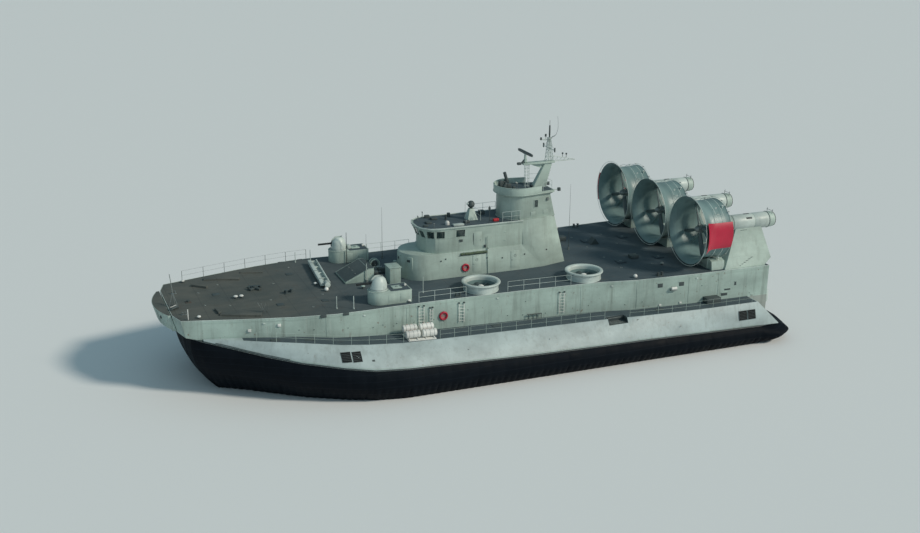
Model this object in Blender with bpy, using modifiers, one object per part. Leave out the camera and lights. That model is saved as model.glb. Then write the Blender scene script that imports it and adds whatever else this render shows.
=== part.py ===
"""A half-size air-cushion landing craft: hull, skirts, ducted air screws, lift fans, house, mast and guns.

+X points to the bow, +Y to port and +Z up. The origin is under the middle of the craft, at floor level.
Every size is in metres of the half-size model.
"""

import math
from collections import namedtuple

import bmesh
import bpy
from mathutils import Matrix, Vector

# Gaps
SEAM = 0.0003
RUNNING = 0.006
PIN_GAP = 0.0008
BAG_SEAM = 0.0005

# Hull levels and plates
DECK_TOP = 3.516
DECK_THICKNESS = 0.097
HALL_HALF_WIDTH = 1.504
BOTTOM_Z = 1.067
HALL_FLOOR = 2.037

# One row for each hull section, from the stern to the bow: half-widths of the wall, the pontoon,
# the apron's top edge and the knuckle, and heights of the pontoon's bottom and top, walkway and knuckle.
Station = namedtuple("Station", "x wall keel_side keel_z floor_z walk_z apron knuckle knuckle_z")
STATIONS = [
    Station(-13.68, 4.753, 4.753, BOTTOM_Z, HALL_FLOOR, 0.97, 5.84, 5.869, 0.921),
    Station(-12.61, 4.729, 4.729, BOTTOM_Z, HALL_FLOOR, 2.061, 5.577, 5.869, 0.946),
    Station(-9.50, 4.656, 4.656, BOTTOM_Z, HALL_FLOOR, 2.061, 5.529, 5.869, 1.018),
    Station(-6.60, 4.486, 4.486, BOTTOM_Z, HALL_FLOOR, 2.061, 5.335, 5.869, 1.091),
    Station(-4.66, 4.122, 4.122, BOTTOM_Z, HALL_FLOOR, 2.085, 5.189, 5.869, 1.115),
    Station(-0.78, 3.928, 3.928, BOTTOM_Z, HALL_FLOOR, 2.110, 5.044, 5.869, 1.188),
    Station(3.10, 3.852, 3.852, BOTTOM_Z, HALL_FLOOR, 2.183, 4.995, 5.869, 1.334),
    Station(5.04, 3.866, 3.866, BOTTOM_Z, HALL_FLOOR, 2.255, 5.044, 5.869, 1.406),
    Station(6.50, 3.928, 3.928, BOTTOM_Z, HALL_FLOOR, 2.352, 4.947, 5.796, 1.504),
    Station(7.66, 3.904, 3.880, BOTTOM_Z, HALL_FLOOR, 2.449, 4.801, 5.481, 1.649),
    Station(9.41, 3.637, 3.201, BOTTOM_Z, HALL_FLOOR, 2.643, 4.413, 4.801, 1.891),
    Station(10.62, 3.347, 2.619, 1.164, 2.085, 2.667, 3.880, 4.122, 2.085),
    Station(11.83, 3.031, 2.134, 1.455, 2.330, 2.692, 3.298, 3.395, 2.330),
    Station(13.05, 2.692, 1.746, 2.340, 2.620, 2.692, 2.789, 2.813, 2.620),
]
STERN_X = STATIONS[0].x
BOW_STATION = STATIONS[-1]
BLOCK_STATION = 11

# Nose: plan corners of the deck, raked back towards the floor
NOSE_CORNER_X = 13.87
NOSE_CORNER_Y = 2.474
NOSE_END_X = 14.12
NOSE_END_Y = 1.66
NOSE_LOW = 2.74
NOSE_RAKE = 0.28
CORNER_RAKE_SHARE = 0.8
SILL_HALF_WIDTH = HALL_HALF_WIDTH - 0.014
SILL_TOP = 2.76
# Sill under the bow ramp: how far past the last section, underside and top
SILL_SECTIONS = [(0.06, 2.38, BOW_STATION.floor_z), (0.40, 2.695, SILL_TOP), (0.90, 2.70, SILL_TOP)]

# Recess in each sponson's upper edge: x range, floor and inner side
RECESS_X = (-5.70, -4.75)
RECESS_Z = 1.85
RECESS_Y = 4.90

# Ramps
RAMP_HALF_WIDTH = 1.62
RAMP_STANDOFF = 0.022
RAMP_THICKNESS = 0.12
RAMP_BULGE = 0.399
BOW_RAMP_Z = (2.82, DECK_TOP)
STERN_RAMP_Z = (2.09, 3.40)
RAMP_HINGE_Y = 1.20
RAMP_HINGE_WIDTH = 0.20
RAMP_HINGE_RADIUS = 0.032
RAMP_HINGE_DROP = 0.045
RAMP_LUG = 0.05
BOW_LUG_DEPTH = 0.06
BOW_LUG_ROOT = 0.10
STERN_LUG_DEPTH = 0.15
LUG_REACH = 0.6 * RAMP_HINGE_RADIUS

# Skirt
HEM_IN_SIDE = -0.15
HEM_IN_BOW = -1.25
BULGE_SIDE = 0.26
BULGE_BOW = 0.10
BULGE_STERN = 1.049
SKIRT_TAPER_X = 5.0
KEEL_X = (-12.6, 9.2)
KEEL_HALF_WIDTH = 0.12
KEEL_HEM = 0.02
CROSS_KEEL_X = (-1.10, -0.86)
CROSS_KEEL_HALF = 4.6
# Knuckle line round the stern, from its middle: how far forward of the stern, y, height and share of the bulge
SKIRT_STERN = [
    (0, 0, BOTTOM_Z, 1),
    (0, 2.3, BOTTOM_Z, 1),
    (0, STATIONS[0].wall - 0.45, BOTTOM_Z, 1),
    (0, STATIONS[0].wall - 0.03, STATIONS[0].knuckle_z, 1),
    (0.08, 5.35, STATIONS[0].knuckle_z, 0.9),
    (0.45, 5.75, STATIONS[0].knuckle_z, 0.6),
]
# Row at which the stern's piece ends, and rows in the bow's piece
STERN_END_ROW = 2
BOW_ROWS = 7
# Knuckle line round the bow, from the last section to the middle, as x, y and height
SKIRT_BOW = [(13.50, 2.38, 2.69), (13.66, 1.60, 2.69), (13.72, 0.80, 2.69), (13.74, 0, 2.69)]

# Lift fans: place of each drum on the port side, and the drums' sizes
Fan = namedtuple("Fan", "end x y")
FANS = [Fan("fore", 0.66, 3.10), Fan("aft", -4.42, 3.30)]
DRUM_TOP = 3.93
DRUM_BORE = 0.69
DRUM_WALL = 0.05
DRUM_RADIUS = DRUM_BORE + DRUM_WALL
DRUM_MOUTH = DRUM_BORE + 0.06
DRUM_LIP = 0.883
COAMING_RADIUS = 0.79
FAN_Z = 3.60
FAN_HUB = 0.15
FAN_HUB_LOW = 0.15
FAN_BLADES = 8
# Square well round each drum in the side hull, and the square outlet through the pontoon
WELL_HALF = DRUM_RADIUS + 2 * SEAM
OUTLET_HALF = 0.60

# Ducts: three side by side, axes along X
DUCT_AXIS_Z = 5.354
DUCT_SPACING = 3.618
DUCT_FRONT_X = -9.63
DUCT_LENGTH = 1.62
DUCT_OUTER = 1.455
DUCT_WALL = 0.097
DUCT_FLARE = 0.32
DUCT_BORE = DUCT_OUTER - DUCT_WALL
DUCT_LIP = DUCT_OUTER + DUCT_FLARE
DUCT_STEPS = 40
PROP_AFT_OF_LIP = 0.70
PROP_HUB = 0.17
PROP_HUB_AFT = 0.13
PROP_BLADES = 4
STRUT_AFT_OF_LIP = 0.96
STRUT_CHORD = 0.15
STRUT_HUB = 0.20
STRUT_HUB_AFT = 0.11
RUDDER_INSET = 0.24
RUDDER_AFT_OF_LIP = DUCT_LENGTH - RUDDER_INSET
RUDDER_OFFSET = 0.73
RUDDER_CHORD = 0.42
RUDDER_HALF_HEIGHT = 0.98
RUDDER_THICKNESS = 0.05
RUDDER_STOCK = 0.018
STOCK_SIDES = 16

# Pylons with the engine nacelles
NACELLE_RADIUS = 0.378
NACELLE_RISE = 0.116
NACELLE_FRONT_X = -12.0
NACELLE_AFT_X = -14.42
PYLON_TOP_Z = 5.25
PYLON_FOOT_X = (-13.50, -11.25)
PYLON_KNEE_X = (-13.92, -11.42)
PYLON_KNEE_Z = 3.82
PYLON_KNEE_SHARE = 0.17
PYLON_HEAD_X = (-13.62, -12.18)
PYLON_HEAD_HALF = 0.30
CENTRE_FOOT_HALF = 0.62
SIDE_FOOT_INSET = 0.70
GEARBOX_RADIUS = 0.13
SADDLE_X = (-11.35, -10.55)
SADDLE_HALF = 0.55
SADDLE_TOP = 4.12

# Deckhouse, bridge and tower
HOUSE_TOP = 4.704
HOUSE_HALF_WIDTH = 1.18
HOUSE_NOSE_X = 2.376
HOUSE_AFT_X = -4.70
HOUSE_RAKE = 0.245
HOUSE_LEAN = 0.074
# Where the sides draw in towards the aft end, as x and share of the half-width, and the share at the end
HOUSE_TAPER = [(-2.2, 1.0), (-3.4, 0.94)]
HOUSE_END_SHARE = 0.64
BRIDGE_FRONT_X = 2.52
BRIDGE_AFT_X = -2.32
BRIDGE_HALF_WIDTH = 1.06
BRIDGE_WALL = 0.045
SILL_Z = 5.36
EAVES_Z = 5.78
ROOF_Z = 5.832
ROOF_THICKNESS = 0.048
ROOF_EDGE = 0.05
FLARE = 0.19
SIDE_PANE_X = (0.62, 1.05)
TOWER_TOP = 6.936
TOWER_RADIUS = 0.946
TOWER_NOSE_X = -2.40
PLATFORM_TOP = 7.154
PLATFORM_EDGE = 0.14
BULWARK_TOP = 7.39
BULWARK_WALL = 0.04
BULWARK_AFT_X = -3.30

# Mast and sensors
MAST_HEAD_Z = 8.318
MAST_TOP_Z = 9.506
POLE_TOP_Z = 10.50
POLE_X = -4.08
RADAR_X = -2.83
# Arms of the mast: x range, half-width and z range
MAST_ARMS = {
    "head": ((-4.32, RADAR_X + 0.14), 0.16, (MAST_HEAD_Z - 0.04, MAST_HEAD_Z + 0.045)),
    "aft_arm": ((-5.46, -4.25), 0.03, (MAST_HEAD_Z - 0.02, MAST_HEAD_Z + 0.03)),
    "yard": ((-4.10, -4.02), 0.62, (8.95, 9.01)),
    "lamp_arm": ((-4.12, -3.60), 0.025, (9.38, 9.43)),
}
# Foot and head of the mast: aft x, fore x and half-width
MAST_FOOT = (-3.88, -3.20, 0.15)
MAST_NECK = (-4.22, -3.83, 0.10)
RADAR_Z = 8.85
RADAR_SPAN = 1.50
DIRECTOR_X = -0.10
DIRECTOR_HEAD_Z = 6.60
DIRECTOR_RADIUS = 0.17

# Guns
GUN_X = 5.48
GUN_Y = 3.104
GUN_HOUSE_RADIUS = 0.485
GUN_HOUSE_AFT_X = 4.12
GUN_HOUSE_TOP = 4.098
TURRET_RADIUS = 0.364
TURRET_TOP = 4.753
TRUNNION_Z = 4.42
GUN_WIDTH = 0.17
GUN_REACH = 1.0
BARREL_RADIUS = 0.055

# Deck fittings
GANGWAY_END = (6.60, -2.95)
GANGWAY_TURN = 5.0
GANGWAY_LENGTH = 3.42
GANGWAY_WIDTH = 0.44
GANGWAY_HEIGHT = 0.24
GANGWAY_WALL = 0.05
GANGWAY_BASE = 0.07
GANGWAY_RUNG_Y = (0.02, 0.9, 1.8, 2.6)
GANGWAY_CHOCK_Y = (0.3, GANGWAY_LENGTH / 2, GANGWAY_LENGTH - 0.4)
VENT_HOUSE = ((4.80, -1.25), (6.16, 0.35))
VENT_HOUSE_HEIGHT = 0.60
LOCKER_HOUSE = ((3.78, 0.45), (4.30, 1.15))
LOCKER_HOUSE_HEIGHT = 0.78

# Raft racks: x of each canister pair, the base's reach across the walkway, and the canisters
RAFT_X = (3.74, 4.50)
RAFT_INNER_Y = 4.10
RAFT_OUTER_Y = 4.96
RAFT_RADIUS = 0.155
RAFT_LENGTH = 0.62
RAFT_LOW = 0.05
RAFT_HIGH = 0.30

DECK_UNDER = DECK_TOP - DECK_THICKNESS
ON_DECK = DECK_TOP + SEAM
ROOF_TOP = ROOF_Z + ROOF_THICKNESS
SIDES = {"port": 1, "starboard": -1}

for old in list(bpy.data.objects):
    bpy.data.objects.remove(old, do_unlink=True)
PARTS = bpy.data.collections.new("hovercraft")
CUTTERS = bpy.data.collections.new("cutters")
bpy.context.scene.collection.children.link(PARTS)
bpy.context.scene.collection.children.link(CUTTERS)
CUTTERS.hide_render = True


def paint(name, colour, roughness=0.55, metallic=0.0):
    """A plain material of one colour."""
    made = bpy.data.materials.new(name)
    made.use_nodes = True
    shader = made.node_tree.nodes["Principled BSDF"]
    shader.inputs["Base Color"].default_value = (*colour, 1)
    shader.inputs["Roughness"].default_value = roughness
    shader.inputs["Metallic"].default_value = metallic
    return made


HULL_GREY = paint("hull_grey", (0.36, 0.43, 0.39))
DECK_GREY = paint("deck_grey", (0.07, 0.09, 0.10), 0.8)
HOUSE_GREY = paint("house_grey", (0.42, 0.47, 0.42))
APRON_GREY = paint("apron_grey", (0.46, 0.50, 0.48))
SKIRT_BLACK = paint("skirt_black", (0.012, 0.014, 0.018), 0.6)
DUCT_GREY = paint("duct_grey", (0.45, 0.52, 0.50))
BLADE_GREY = paint("blade_grey", (0.10, 0.13, 0.14), 0.45)
GUN_METAL = paint("gun_metal", (0.05, 0.06, 0.06), 0.4, 0.6)


def place(name, mesh, material, helper=False):
    made = bpy.data.objects.new(name, mesh)
    (CUTTERS if helper else PARTS).objects.link(made)
    if material:
        mesh.materials.append(material)
    if helper:
        made.hide_render = True
        made.display_type = "WIRE"
    return made


def mesh_of(name, shape):
    """A Blender mesh from a bmesh, with its faces turned outwards."""
    bmesh.ops.recalc_face_normals(shape, faces=shape.faces)
    mesh = bpy.data.meshes.new(name)
    shape.to_mesh(mesh)
    shape.free()
    return mesh


def loft(name, rings, material=None, helper=False, looped=False):
    """A skin over rings of points that match one to one, with a cap at each end unless it loops back."""
    shape = bmesh.new()
    rows = [[shape.verts.new(point) for point in ring] for ring in rings]
    count = len(rows[0])
    for first, second in zip(rows, rows[1:] + rows[:1] if looped else rows[1:]):
        for i in range(count):
            j = (i + 1) % count
            shape.faces.new((first[i], first[j], second[j], second[i]))
    if not looped:
        shape.faces.new(rows[0])
        shape.faces.new(rows[-1])
    return place(name, mesh_of(name, shape), material, helper)


def prism(name, outline, low, high, material=None, helper=False):
    """An upright solid over a plan outline."""
    return loft(name, [[(x, y, z) for x, y in outline] for z in (low, high)], material, helper)


def box(name, low, high, material=None, helper=False):
    middle = (Vector(low) + Vector(high)) / 2
    size = Vector(high) - Vector(low)
    shape = bmesh.new()
    bmesh.ops.create_cube(shape, size=1, matrix=Matrix.Translation(middle) @ Matrix.Diagonal((*size, 1)))
    return place(name, mesh_of(name, shape), material, helper)


AXES = {"X": Matrix.Rotation(math.pi / 2, 4, "Y"), "Y": Matrix.Rotation(-math.pi / 2, 4, "X"), "Z": Matrix()}


def rod(name, start, length, radius, axis="Z", sides=24, material=None, helper=False, tip=None):
    """A cylinder or cone that runs from start along an axis."""
    shape = bmesh.new()
    bmesh.ops.create_cone(
        shape,
        cap_ends=True,
        segments=sides,
        radius1=radius,
        radius2=radius if tip is None else tip,
        depth=length,
    )
    along = Matrix.Translation(start) @ AXES[axis] @ Matrix.Translation((0, 0, length / 2))
    bmesh.ops.transform(shape, matrix=along, verts=shape.verts)
    return place(name, mesh_of(name, shape), material, helper)


def turned(name, profile, centre, axis="Z", steps=32, ring=False, material=None, helper=False):
    """A profile of (radius, height) turned round an axis. It runs down the outer side."""
    mesh = bpy.data.meshes.new(name)
    edges = [(i, i + 1) for i in range(len(profile) - 1)]
    if ring:
        edges.append((len(profile) - 1, 0))
    mesh.from_pydata([(radius, 0, height) for radius, height in profile], edges, [])
    made = place(name, mesh, material, helper)
    screw = made.modifiers.new("turn", "SCREW")
    screw.axis = "Z"
    screw.steps = steps
    screw.render_steps = steps
    screw.use_merge_vertices = True
    screw.merge_threshold = 0.0001
    made.matrix_world = Matrix.Translation(centre) @ AXES[axis]
    return made


def boolean(target, tool, operation):
    change = target.modifiers.new(tool.name, "BOOLEAN")
    change.operation = operation
    change.solver = "EXACT"
    change.object = tool
    return target


def cut(target, *tools):
    for tool in tools:
        boolean(target, tool, "DIFFERENCE")
    return target


def unite(target, *tools):
    for tool in tools:
        boolean(target, tool, "UNION")
    return target


def mirrored(points, side):
    return [(x, y * side, z) for x, y, z in points]


def round_nose(centre_x, radius, aft_x, aft_half, steps=6):
    """A plan outline with a half-round front and straight sides."""
    arc = [math.pi * (i / (2 * steps) - 0.5) for i in range(2 * steps + 1)]
    front = [(centre_x + radius * math.cos(a), radius * math.sin(a)) for a in arc]
    return front + [(aft_x, aft_half), (aft_x, -aft_half)]


# Hull


def pontoon_ring(section, shift=0.0):
    top = section.floor_z - SEAM
    side = section.keel_side - SEAM
    x = section.x + shift
    return [(x, -side, section.keel_z), (x, side, section.keel_z), (x, side, top), (x, -side, top)]


def lugs(name, low_x, high_x, low_z, high_z):
    """A pair of lugs beside each hinge eye of a ramp."""
    made = []
    for middle in (-RAMP_HINGE_Y, RAMP_HINGE_Y):
        for side in (-1, 1):
            near = middle + side * (RAMP_HINGE_WIDTH / 2 + PIN_GAP)
            low_y, high_y = sorted((near, near + side * RAMP_LUG))
            made.append(box(name, (low_x, low_y, low_z), (high_x, high_y, high_z), None, True))
    return made


def well(name, x, y, half, low, high):
    """A square upright hole round a drum's axis, cut a little past both faces."""
    return box(name, (x - half, y - half, low - RAMP_LUG), (x + half, y + half, high + RAMP_LUG), None, True)


def build_pontoon():
    """The flat buoyant raft, with the lift fans' outlets and the stern ramp's lugs."""
    pontoon = loft("pontoon", [pontoon_ring(s) for s in STATIONS[: BLOCK_STATION + 1]], HULL_GREY)
    for side in SIDES.values():
        for fan in FANS:
            cut(pontoon, well("outlet", fan.x, side * fan.y, OUTLET_HALF, BOTTOM_Z, HALL_FLOOR))
    x, z = stern_hinge()
    low_z = z - STERN_LUG_DEPTH
    unite(pontoon, *lugs("stern_lug", x - LUG_REACH, STERN_X + RAMP_THICKNESS, low_z, HALL_FLOOR - SEAM))


def build_bow_block():
    """The raised fore end of the raft and the sill under the bow ramp."""
    rings = [pontoon_ring(STATIONS[BLOCK_STATION], SEAM)]
    rings += [pontoon_ring(s) for s in STATIONS[BLOCK_STATION + 1 :]]
    for forward, low, high in SILL_SECTIONS:
        x = BOW_STATION.x + forward
        side = SILL_HALF_WIDTH
        rings.append([(x, -side, low), (x, side, low), (x, side, high), (x, -side, high)])
    block = loft("bow_block", rings, HULL_GREY)
    x, z = bow_hinge()
    root = BOW_STATION.x + SILL_SECTIONS[-1][0] - BOW_LUG_ROOT
    unite(block, *lugs("bow_lug", root, x + LUG_REACH, SILL_TOP - BOW_LUG_DEPTH, z + LUG_REACH))


def nose_points(low, high):
    """The raked nose, as (x at the low height, x at the high height, half-width) rows."""
    drop = (high - low) * NOSE_RAKE
    return [
        (NOSE_CORNER_X - drop * CORNER_RAKE_SHARE, NOSE_CORNER_X, NOSE_CORNER_Y),
        (NOSE_END_X - drop, NOSE_END_X, NOSE_END_Y),
    ]


def build_side_hull(name, side):
    inner = HALL_HALF_WIDTH
    top = DECK_UNDER - SEAM
    rings = []
    for s in STATIONS:
        ring = [(s.x, inner, s.floor_z), (s.x, s.wall, s.floor_z), (s.x, s.wall, top), (s.x, inner, top)]
        rings.append(mirrored(ring, side))
    for x_low, x_high, y in nose_points(NOSE_LOW, top):
        ring = [(x_low, inner, NOSE_LOW), (x_low, y, NOSE_LOW), (x_high, y, top), (x_high, inner, top)]
        rings.append(mirrored(ring, side))
    hull = loft("side_hull_" + name, rings, HULL_GREY)
    for fan in FANS:
        cut(hull, well("hull_well", fan.x, side * fan.y, WELL_HALF, HALL_FLOOR, top))


def build_main_deck():
    half = [(s.x, s.wall) for s in STATIONS] + [(NOSE_CORNER_X, NOSE_CORNER_Y), (NOSE_END_X, NOSE_END_Y)]
    outline = half + [(x, -y) for x, y in reversed(half)]
    deck = prism("main_deck", outline, DECK_UNDER, DECK_TOP, DECK_GREY)
    for side in SIDES.values():
        for fan in FANS:
            bore = rod("deck_bore", (fan.x, side * fan.y, 3), 1, DRUM_RADIUS + 2 * SEAM, sides=32, helper=True)
            cut(deck, bore)


def build_sponson(name, side):
    """Walkway and sloping apron outboard of the wall."""
    rings = []
    for s in STATIONS:
        inner = s.wall + SEAM
        ring = [
            (s.x, inner, s.knuckle_z),
            (s.x, max(s.knuckle, inner + 0.02) - 0.02, s.knuckle_z),
            (s.x, s.knuckle, s.knuckle_z + 0.03),
            (s.x, s.apron, s.walk_z),
            (s.x, inner, s.walk_z),
        ]
        rings.append(mirrored(ring, side))
    sponson = loft("sponson_" + name, rings, APRON_GREY)
    low_y, high_y = sorted((side * RECESS_Y, side * (STATIONS[0].knuckle + 0.6)))
    recess = box("recess", (RECESS_X[0], low_y, RECESS_Z), (RECESS_X[1], high_y, 3), None, True)
    cut(sponson, recess)


def bow_hinge():
    """Place of the bow ramp's hinge line, as x and z."""
    low = BOW_RAMP_Z[0]
    inner = NOSE_END_X + RAMP_STANDOFF - (DECK_UNDER - low) * NOSE_RAKE
    return inner + RAMP_THICKNESS * 0.9, low - RAMP_HINGE_DROP


def stern_hinge():
    """Place of the stern ramp's hinge line, as x and z."""
    return STERN_X - RAMP_STANDOFF - RAMP_THICKNESS, STERN_RAMP_Z[0] - RAMP_HINGE_DROP


def hang_ramp(ramp, line, inward):
    """Hinge eyes under the ramp's lower edge."""
    x, z = line
    for middle in (-RAMP_HINGE_Y, RAMP_HINGE_Y):
        low_y, high_y = middle - RAMP_HINGE_WIDTH / 2, middle + RAMP_HINGE_WIDTH / 2
        unite(ramp, rod("eye", (x, low_y, z), RAMP_HINGE_WIDTH, RAMP_HINGE_RADIUS, "Y", 12, None, True))
        near, far = sorted((x, x + inward * RAMP_THICKNESS * 0.6))
        unite(ramp, box("strap", (near, low_y, z), (far, high_y, z + RAMP_HINGE_DROP + 0.06), None, True))


def build_bow_ramp():
    rings = []
    for z in BOW_RAMP_Z:
        inner = NOSE_END_X + RAMP_STANDOFF - (DECK_UNDER - z) * NOSE_RAKE
        ring = [(inner, -RAMP_HALF_WIDTH, z)]
        for i in range(-4, 5):
            across = i / 4
            bulge = RAMP_THICKNESS + RAMP_BULGE * (1 - across * across)
            ring.append((inner + bulge, across * RAMP_HALF_WIDTH, z))
        ring.append((inner, RAMP_HALF_WIDTH, z))
        rings.append(ring)
    hang_ramp(loft("bow_ramp", rings, HULL_GREY), bow_hinge(), -1)


def build_stern_ramp():
    aft = STERN_X - RAMP_STANDOFF
    low, high = STERN_RAMP_Z
    half = RAMP_HALF_WIDTH
    ramp = box("stern_ramp", (aft - RAMP_THICKNESS, -half, low), (aft, half, high), HULL_GREY)
    hang_ramp(ramp, stern_hinge(), 1)


# Skirt


SkirtPoint = namedtuple("SkirtPoint", "x y top hem bulge")


def skirt_path():
    """The knuckle line of the port half, from the stern's middle to the bow's."""
    rows = []
    for forward, y, top, share in SKIRT_STERN:
        rows.append(SkirtPoint(STERN_X + forward, y, top, HEM_IN_SIDE, BULGE_STERN * share))
    for s in STATIONS[1:]:
        share = max(0.0, (s.x - SKIRT_TAPER_X) / (BOW_STATION.x - SKIRT_TAPER_X))
        hem = HEM_IN_SIDE + (HEM_IN_BOW - HEM_IN_SIDE) * share
        bulge = BULGE_SIDE + (BULGE_BOW - BULGE_SIDE) * share
        rows.append(SkirtPoint(s.x, s.knuckle, s.knuckle_z, hem, bulge))
    return rows + [SkirtPoint(x, y, top, HEM_IN_BOW, BULGE_BOW) for x, y, top in SKIRT_BOW]


def skirt_section(point, normal):
    """The bag's section at one point of the knuckle line, seen along the line."""
    top = point.top - BAG_SEAM
    across = []
    for share in (1, 0.78, 0.55, 0.3, 0):
        out = point.hem * (1 - share) ** 2 + point.bulge * 4 * share * (1 - share)
        across.append((out, top * share))
    deep = min(point.hem, -0.3)
    across += [
        (point.hem - 0.25, 0),
        (point.hem - 0.33, top * 0.35),
        (deep * 0.5 - 0.3, top * 0.7),
        (-0.34, top - 0.15),
    ]
    return [(point.x + normal.x * out, point.y + normal.y * out, z) for out, z in across]


def skirt_rings(rows):
    """Sections along the whole port half, each square to the knuckle line."""
    rings = []
    for i, row in enumerate(rows):
        before = rows[max(i - 1, 0)]
        after = rows[min(i + 1, len(rows) - 1)]
        along = Vector((after.x - before.x, after.y - before.y))
        if i in (0, len(rows) - 1):
            along = Vector((0, 1 if i == 0 else -1))
        along.normalize()
        rings.append(skirt_section(row, Vector((-along.y, along.x))))
    return rings


def shifted(ring, step):
    return [(x + step[0], y + step[1], z) for x, y, z in ring]


def build_skirts():
    rings = skirt_rings(skirt_path())
    bow_start = len(rings) - BOW_ROWS
    stern_half = rings[: STERN_END_ROW + 1]
    stern = [mirrored(ring, -1) for ring in reversed(stern_half)] + stern_half[1:]
    loft("skirt_stern", stern, SKIRT_BLACK)
    bow_half = rings[bow_start:]
    bow = bow_half + [mirrored(ring, -1) for ring in reversed(bow_half[:-1])]
    loft("skirt_bow", bow, SKIRT_BLACK)
    for name, side in SIDES.items():
        middle = rings[STERN_END_ROW : bow_start + 1]
        middle[0] = shifted(middle[0], (0, BAG_SEAM))
        middle[-1] = shifted(middle[-1], (-BAG_SEAM, 0))
        loft("skirt_" + name, [mirrored(ring, side) for ring in middle], SKIRT_BLACK)


def build_cushion_keel():
    """The flexible wall that parts the cushion, lengthwise and across."""
    top = BOTTOM_Z - SEAM
    (aft, fore), half = KEEL_X, KEEL_HALF_WIDTH
    keel = box("cushion_keel", (aft, -half, KEEL_HEM), (fore, half, top), SKIRT_BLACK)
    (aft, fore), half = CROSS_KEEL_X, CROSS_KEEL_HALF
    cross = box("keel_cross", (aft, -half, KEEL_HEM + 0.01), (fore, half, top - 0.01), None, True)
    unite(keel, cross)


# Lift fans


def build_lift_drum(name, x, y):
    """A drum through the side hull with a coaming and lip, and a spider for the fan's bearing."""
    low = HALL_FLOOR + 0.01
    profile = [
        (DRUM_MOUTH, DRUM_TOP),
        (DRUM_LIP - 0.03, DRUM_TOP),
        (DRUM_LIP, DRUM_TOP - 0.04),
        (DRUM_LIP - 0.02, DRUM_TOP - 0.09),
        (COAMING_RADIUS, DRUM_TOP - 0.15),
        (COAMING_RADIUS, ON_DECK),
        (DRUM_RADIUS, ON_DECK),
        (DRUM_RADIUS, low),
        (DRUM_BORE, low),
        (DRUM_BORE, DRUM_TOP - 0.08),
    ]
    drum = turned("lift_drum_" + name, profile, (x, y, 0), ring=True, material=HULL_GREY)
    seat = FAN_Z - FAN_HUB_LOW - PIN_GAP
    bearing = rod("bearing", (x, y, seat - 0.2), 0.2, FAN_HUB, sides=16, helper=True)
    unite(drum, bearing)
    reach = DRUM_BORE + (DRUM_RADIUS - DRUM_BORE) / 2
    unite(drum, box("arm", (x - reach, y - 0.02, seat - 0.17), (x + reach, y + 0.02, seat - 0.05), None, True))
    unite(drum, box("arm", (x - 0.02, y - reach, seat - 0.16), (x + 0.02, y + reach, seat - 0.06), None, True))


def blade_rings(root, tip, root_chord, tip_chord, root_pitch, tip_pitch, thickness, steps=3):
    """Sections of a twisted blade along +Y, its disc square to Z. Pitch is in degrees from the disc."""
    rings = []
    for i in range(steps + 1):
        share = i / steps
        reach = root + (tip - root) * share
        chord = root_chord + (tip_chord - root_chord) * share
        pitch = math.radians(root_pitch + (tip_pitch - root_pitch) * share)
        thick = thickness * (1 - 0.5 * share)
        flat = [(-chord / 2, 0), (-chord * 0.15, thick / 2), (chord / 2, 0), (-chord * 0.15, -thick / 2)]
        rings.append(
            [
                (u * math.cos(pitch) - v * math.sin(pitch), reach, u * math.sin(pitch) + v * math.cos(pitch))
                for u, v in flat
            ]
        )
    return rings


def bladed(name, hub_profile, rings, blades, start, material, steps=24):
    """A hub with blades round Z, joined into one mesh."""
    hub = turned(name + "_hub", hub_profile, (0, 0, 0), steps=steps, helper=True)
    for i in range(blades):
        turn = Matrix.Rotation(start + 2 * math.pi * i / blades, 4, "Z")
        blade = loft(name + "_blade", [[turn @ Vector(p) for p in ring] for ring in rings], None, True)
        unite(hub, blade)
    bpy.context.view_layer.update()
    graph = bpy.context.evaluated_depsgraph_get()
    mesh = bpy.data.meshes.new_from_object(hub.evaluated_get(graph))
    for helper in [o for o in CUTTERS.objects if o.name.startswith(name)]:
        bpy.data.objects.remove(helper, do_unlink=True)
    mesh.name = name
    mesh.materials.clear()
    mesh.materials.append(material)
    return mesh


def build_lift_fans():
    hub = [(0, 0.12), (0.08, 0.11), (FAN_HUB, 0.02), (FAN_HUB, -FAN_HUB_LOW), (0, -FAN_HUB_LOW)]
    reach = DRUM_BORE - 2 * RUNNING
    rings = blade_rings(FAN_HUB - 0.04, reach, 0.16, 0.20, 40, 22, 0.03)
    mesh = bladed("lift_fan", hub, rings, FAN_BLADES, 0, BLADE_GREY)
    for side_name, side in SIDES.items():
        for place in FANS:
            name = side_name + "_" + place.end
            build_lift_drum(name, place.x, side * place.y)
            fan = bpy.data.objects.new("lift_fan_" + name, mesh)
            PARTS.objects.link(fan)
            fan.location = (place.x, side * place.y, FAN_Z)


# Ducts, propellers, rudders and pylons


DUCT_Y = {"port": DUCT_SPACING, "centre": 0.0, "starboard": -DUCT_SPACING}


def rudder_stock_reach():
    """How far a rudder's stock reaches from the duct's axis level, to the middle of the wall."""
    wall = (DUCT_BORE + DUCT_OUTER) / 2
    return math.sqrt(wall**2 - RUDDER_OFFSET**2)


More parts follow.
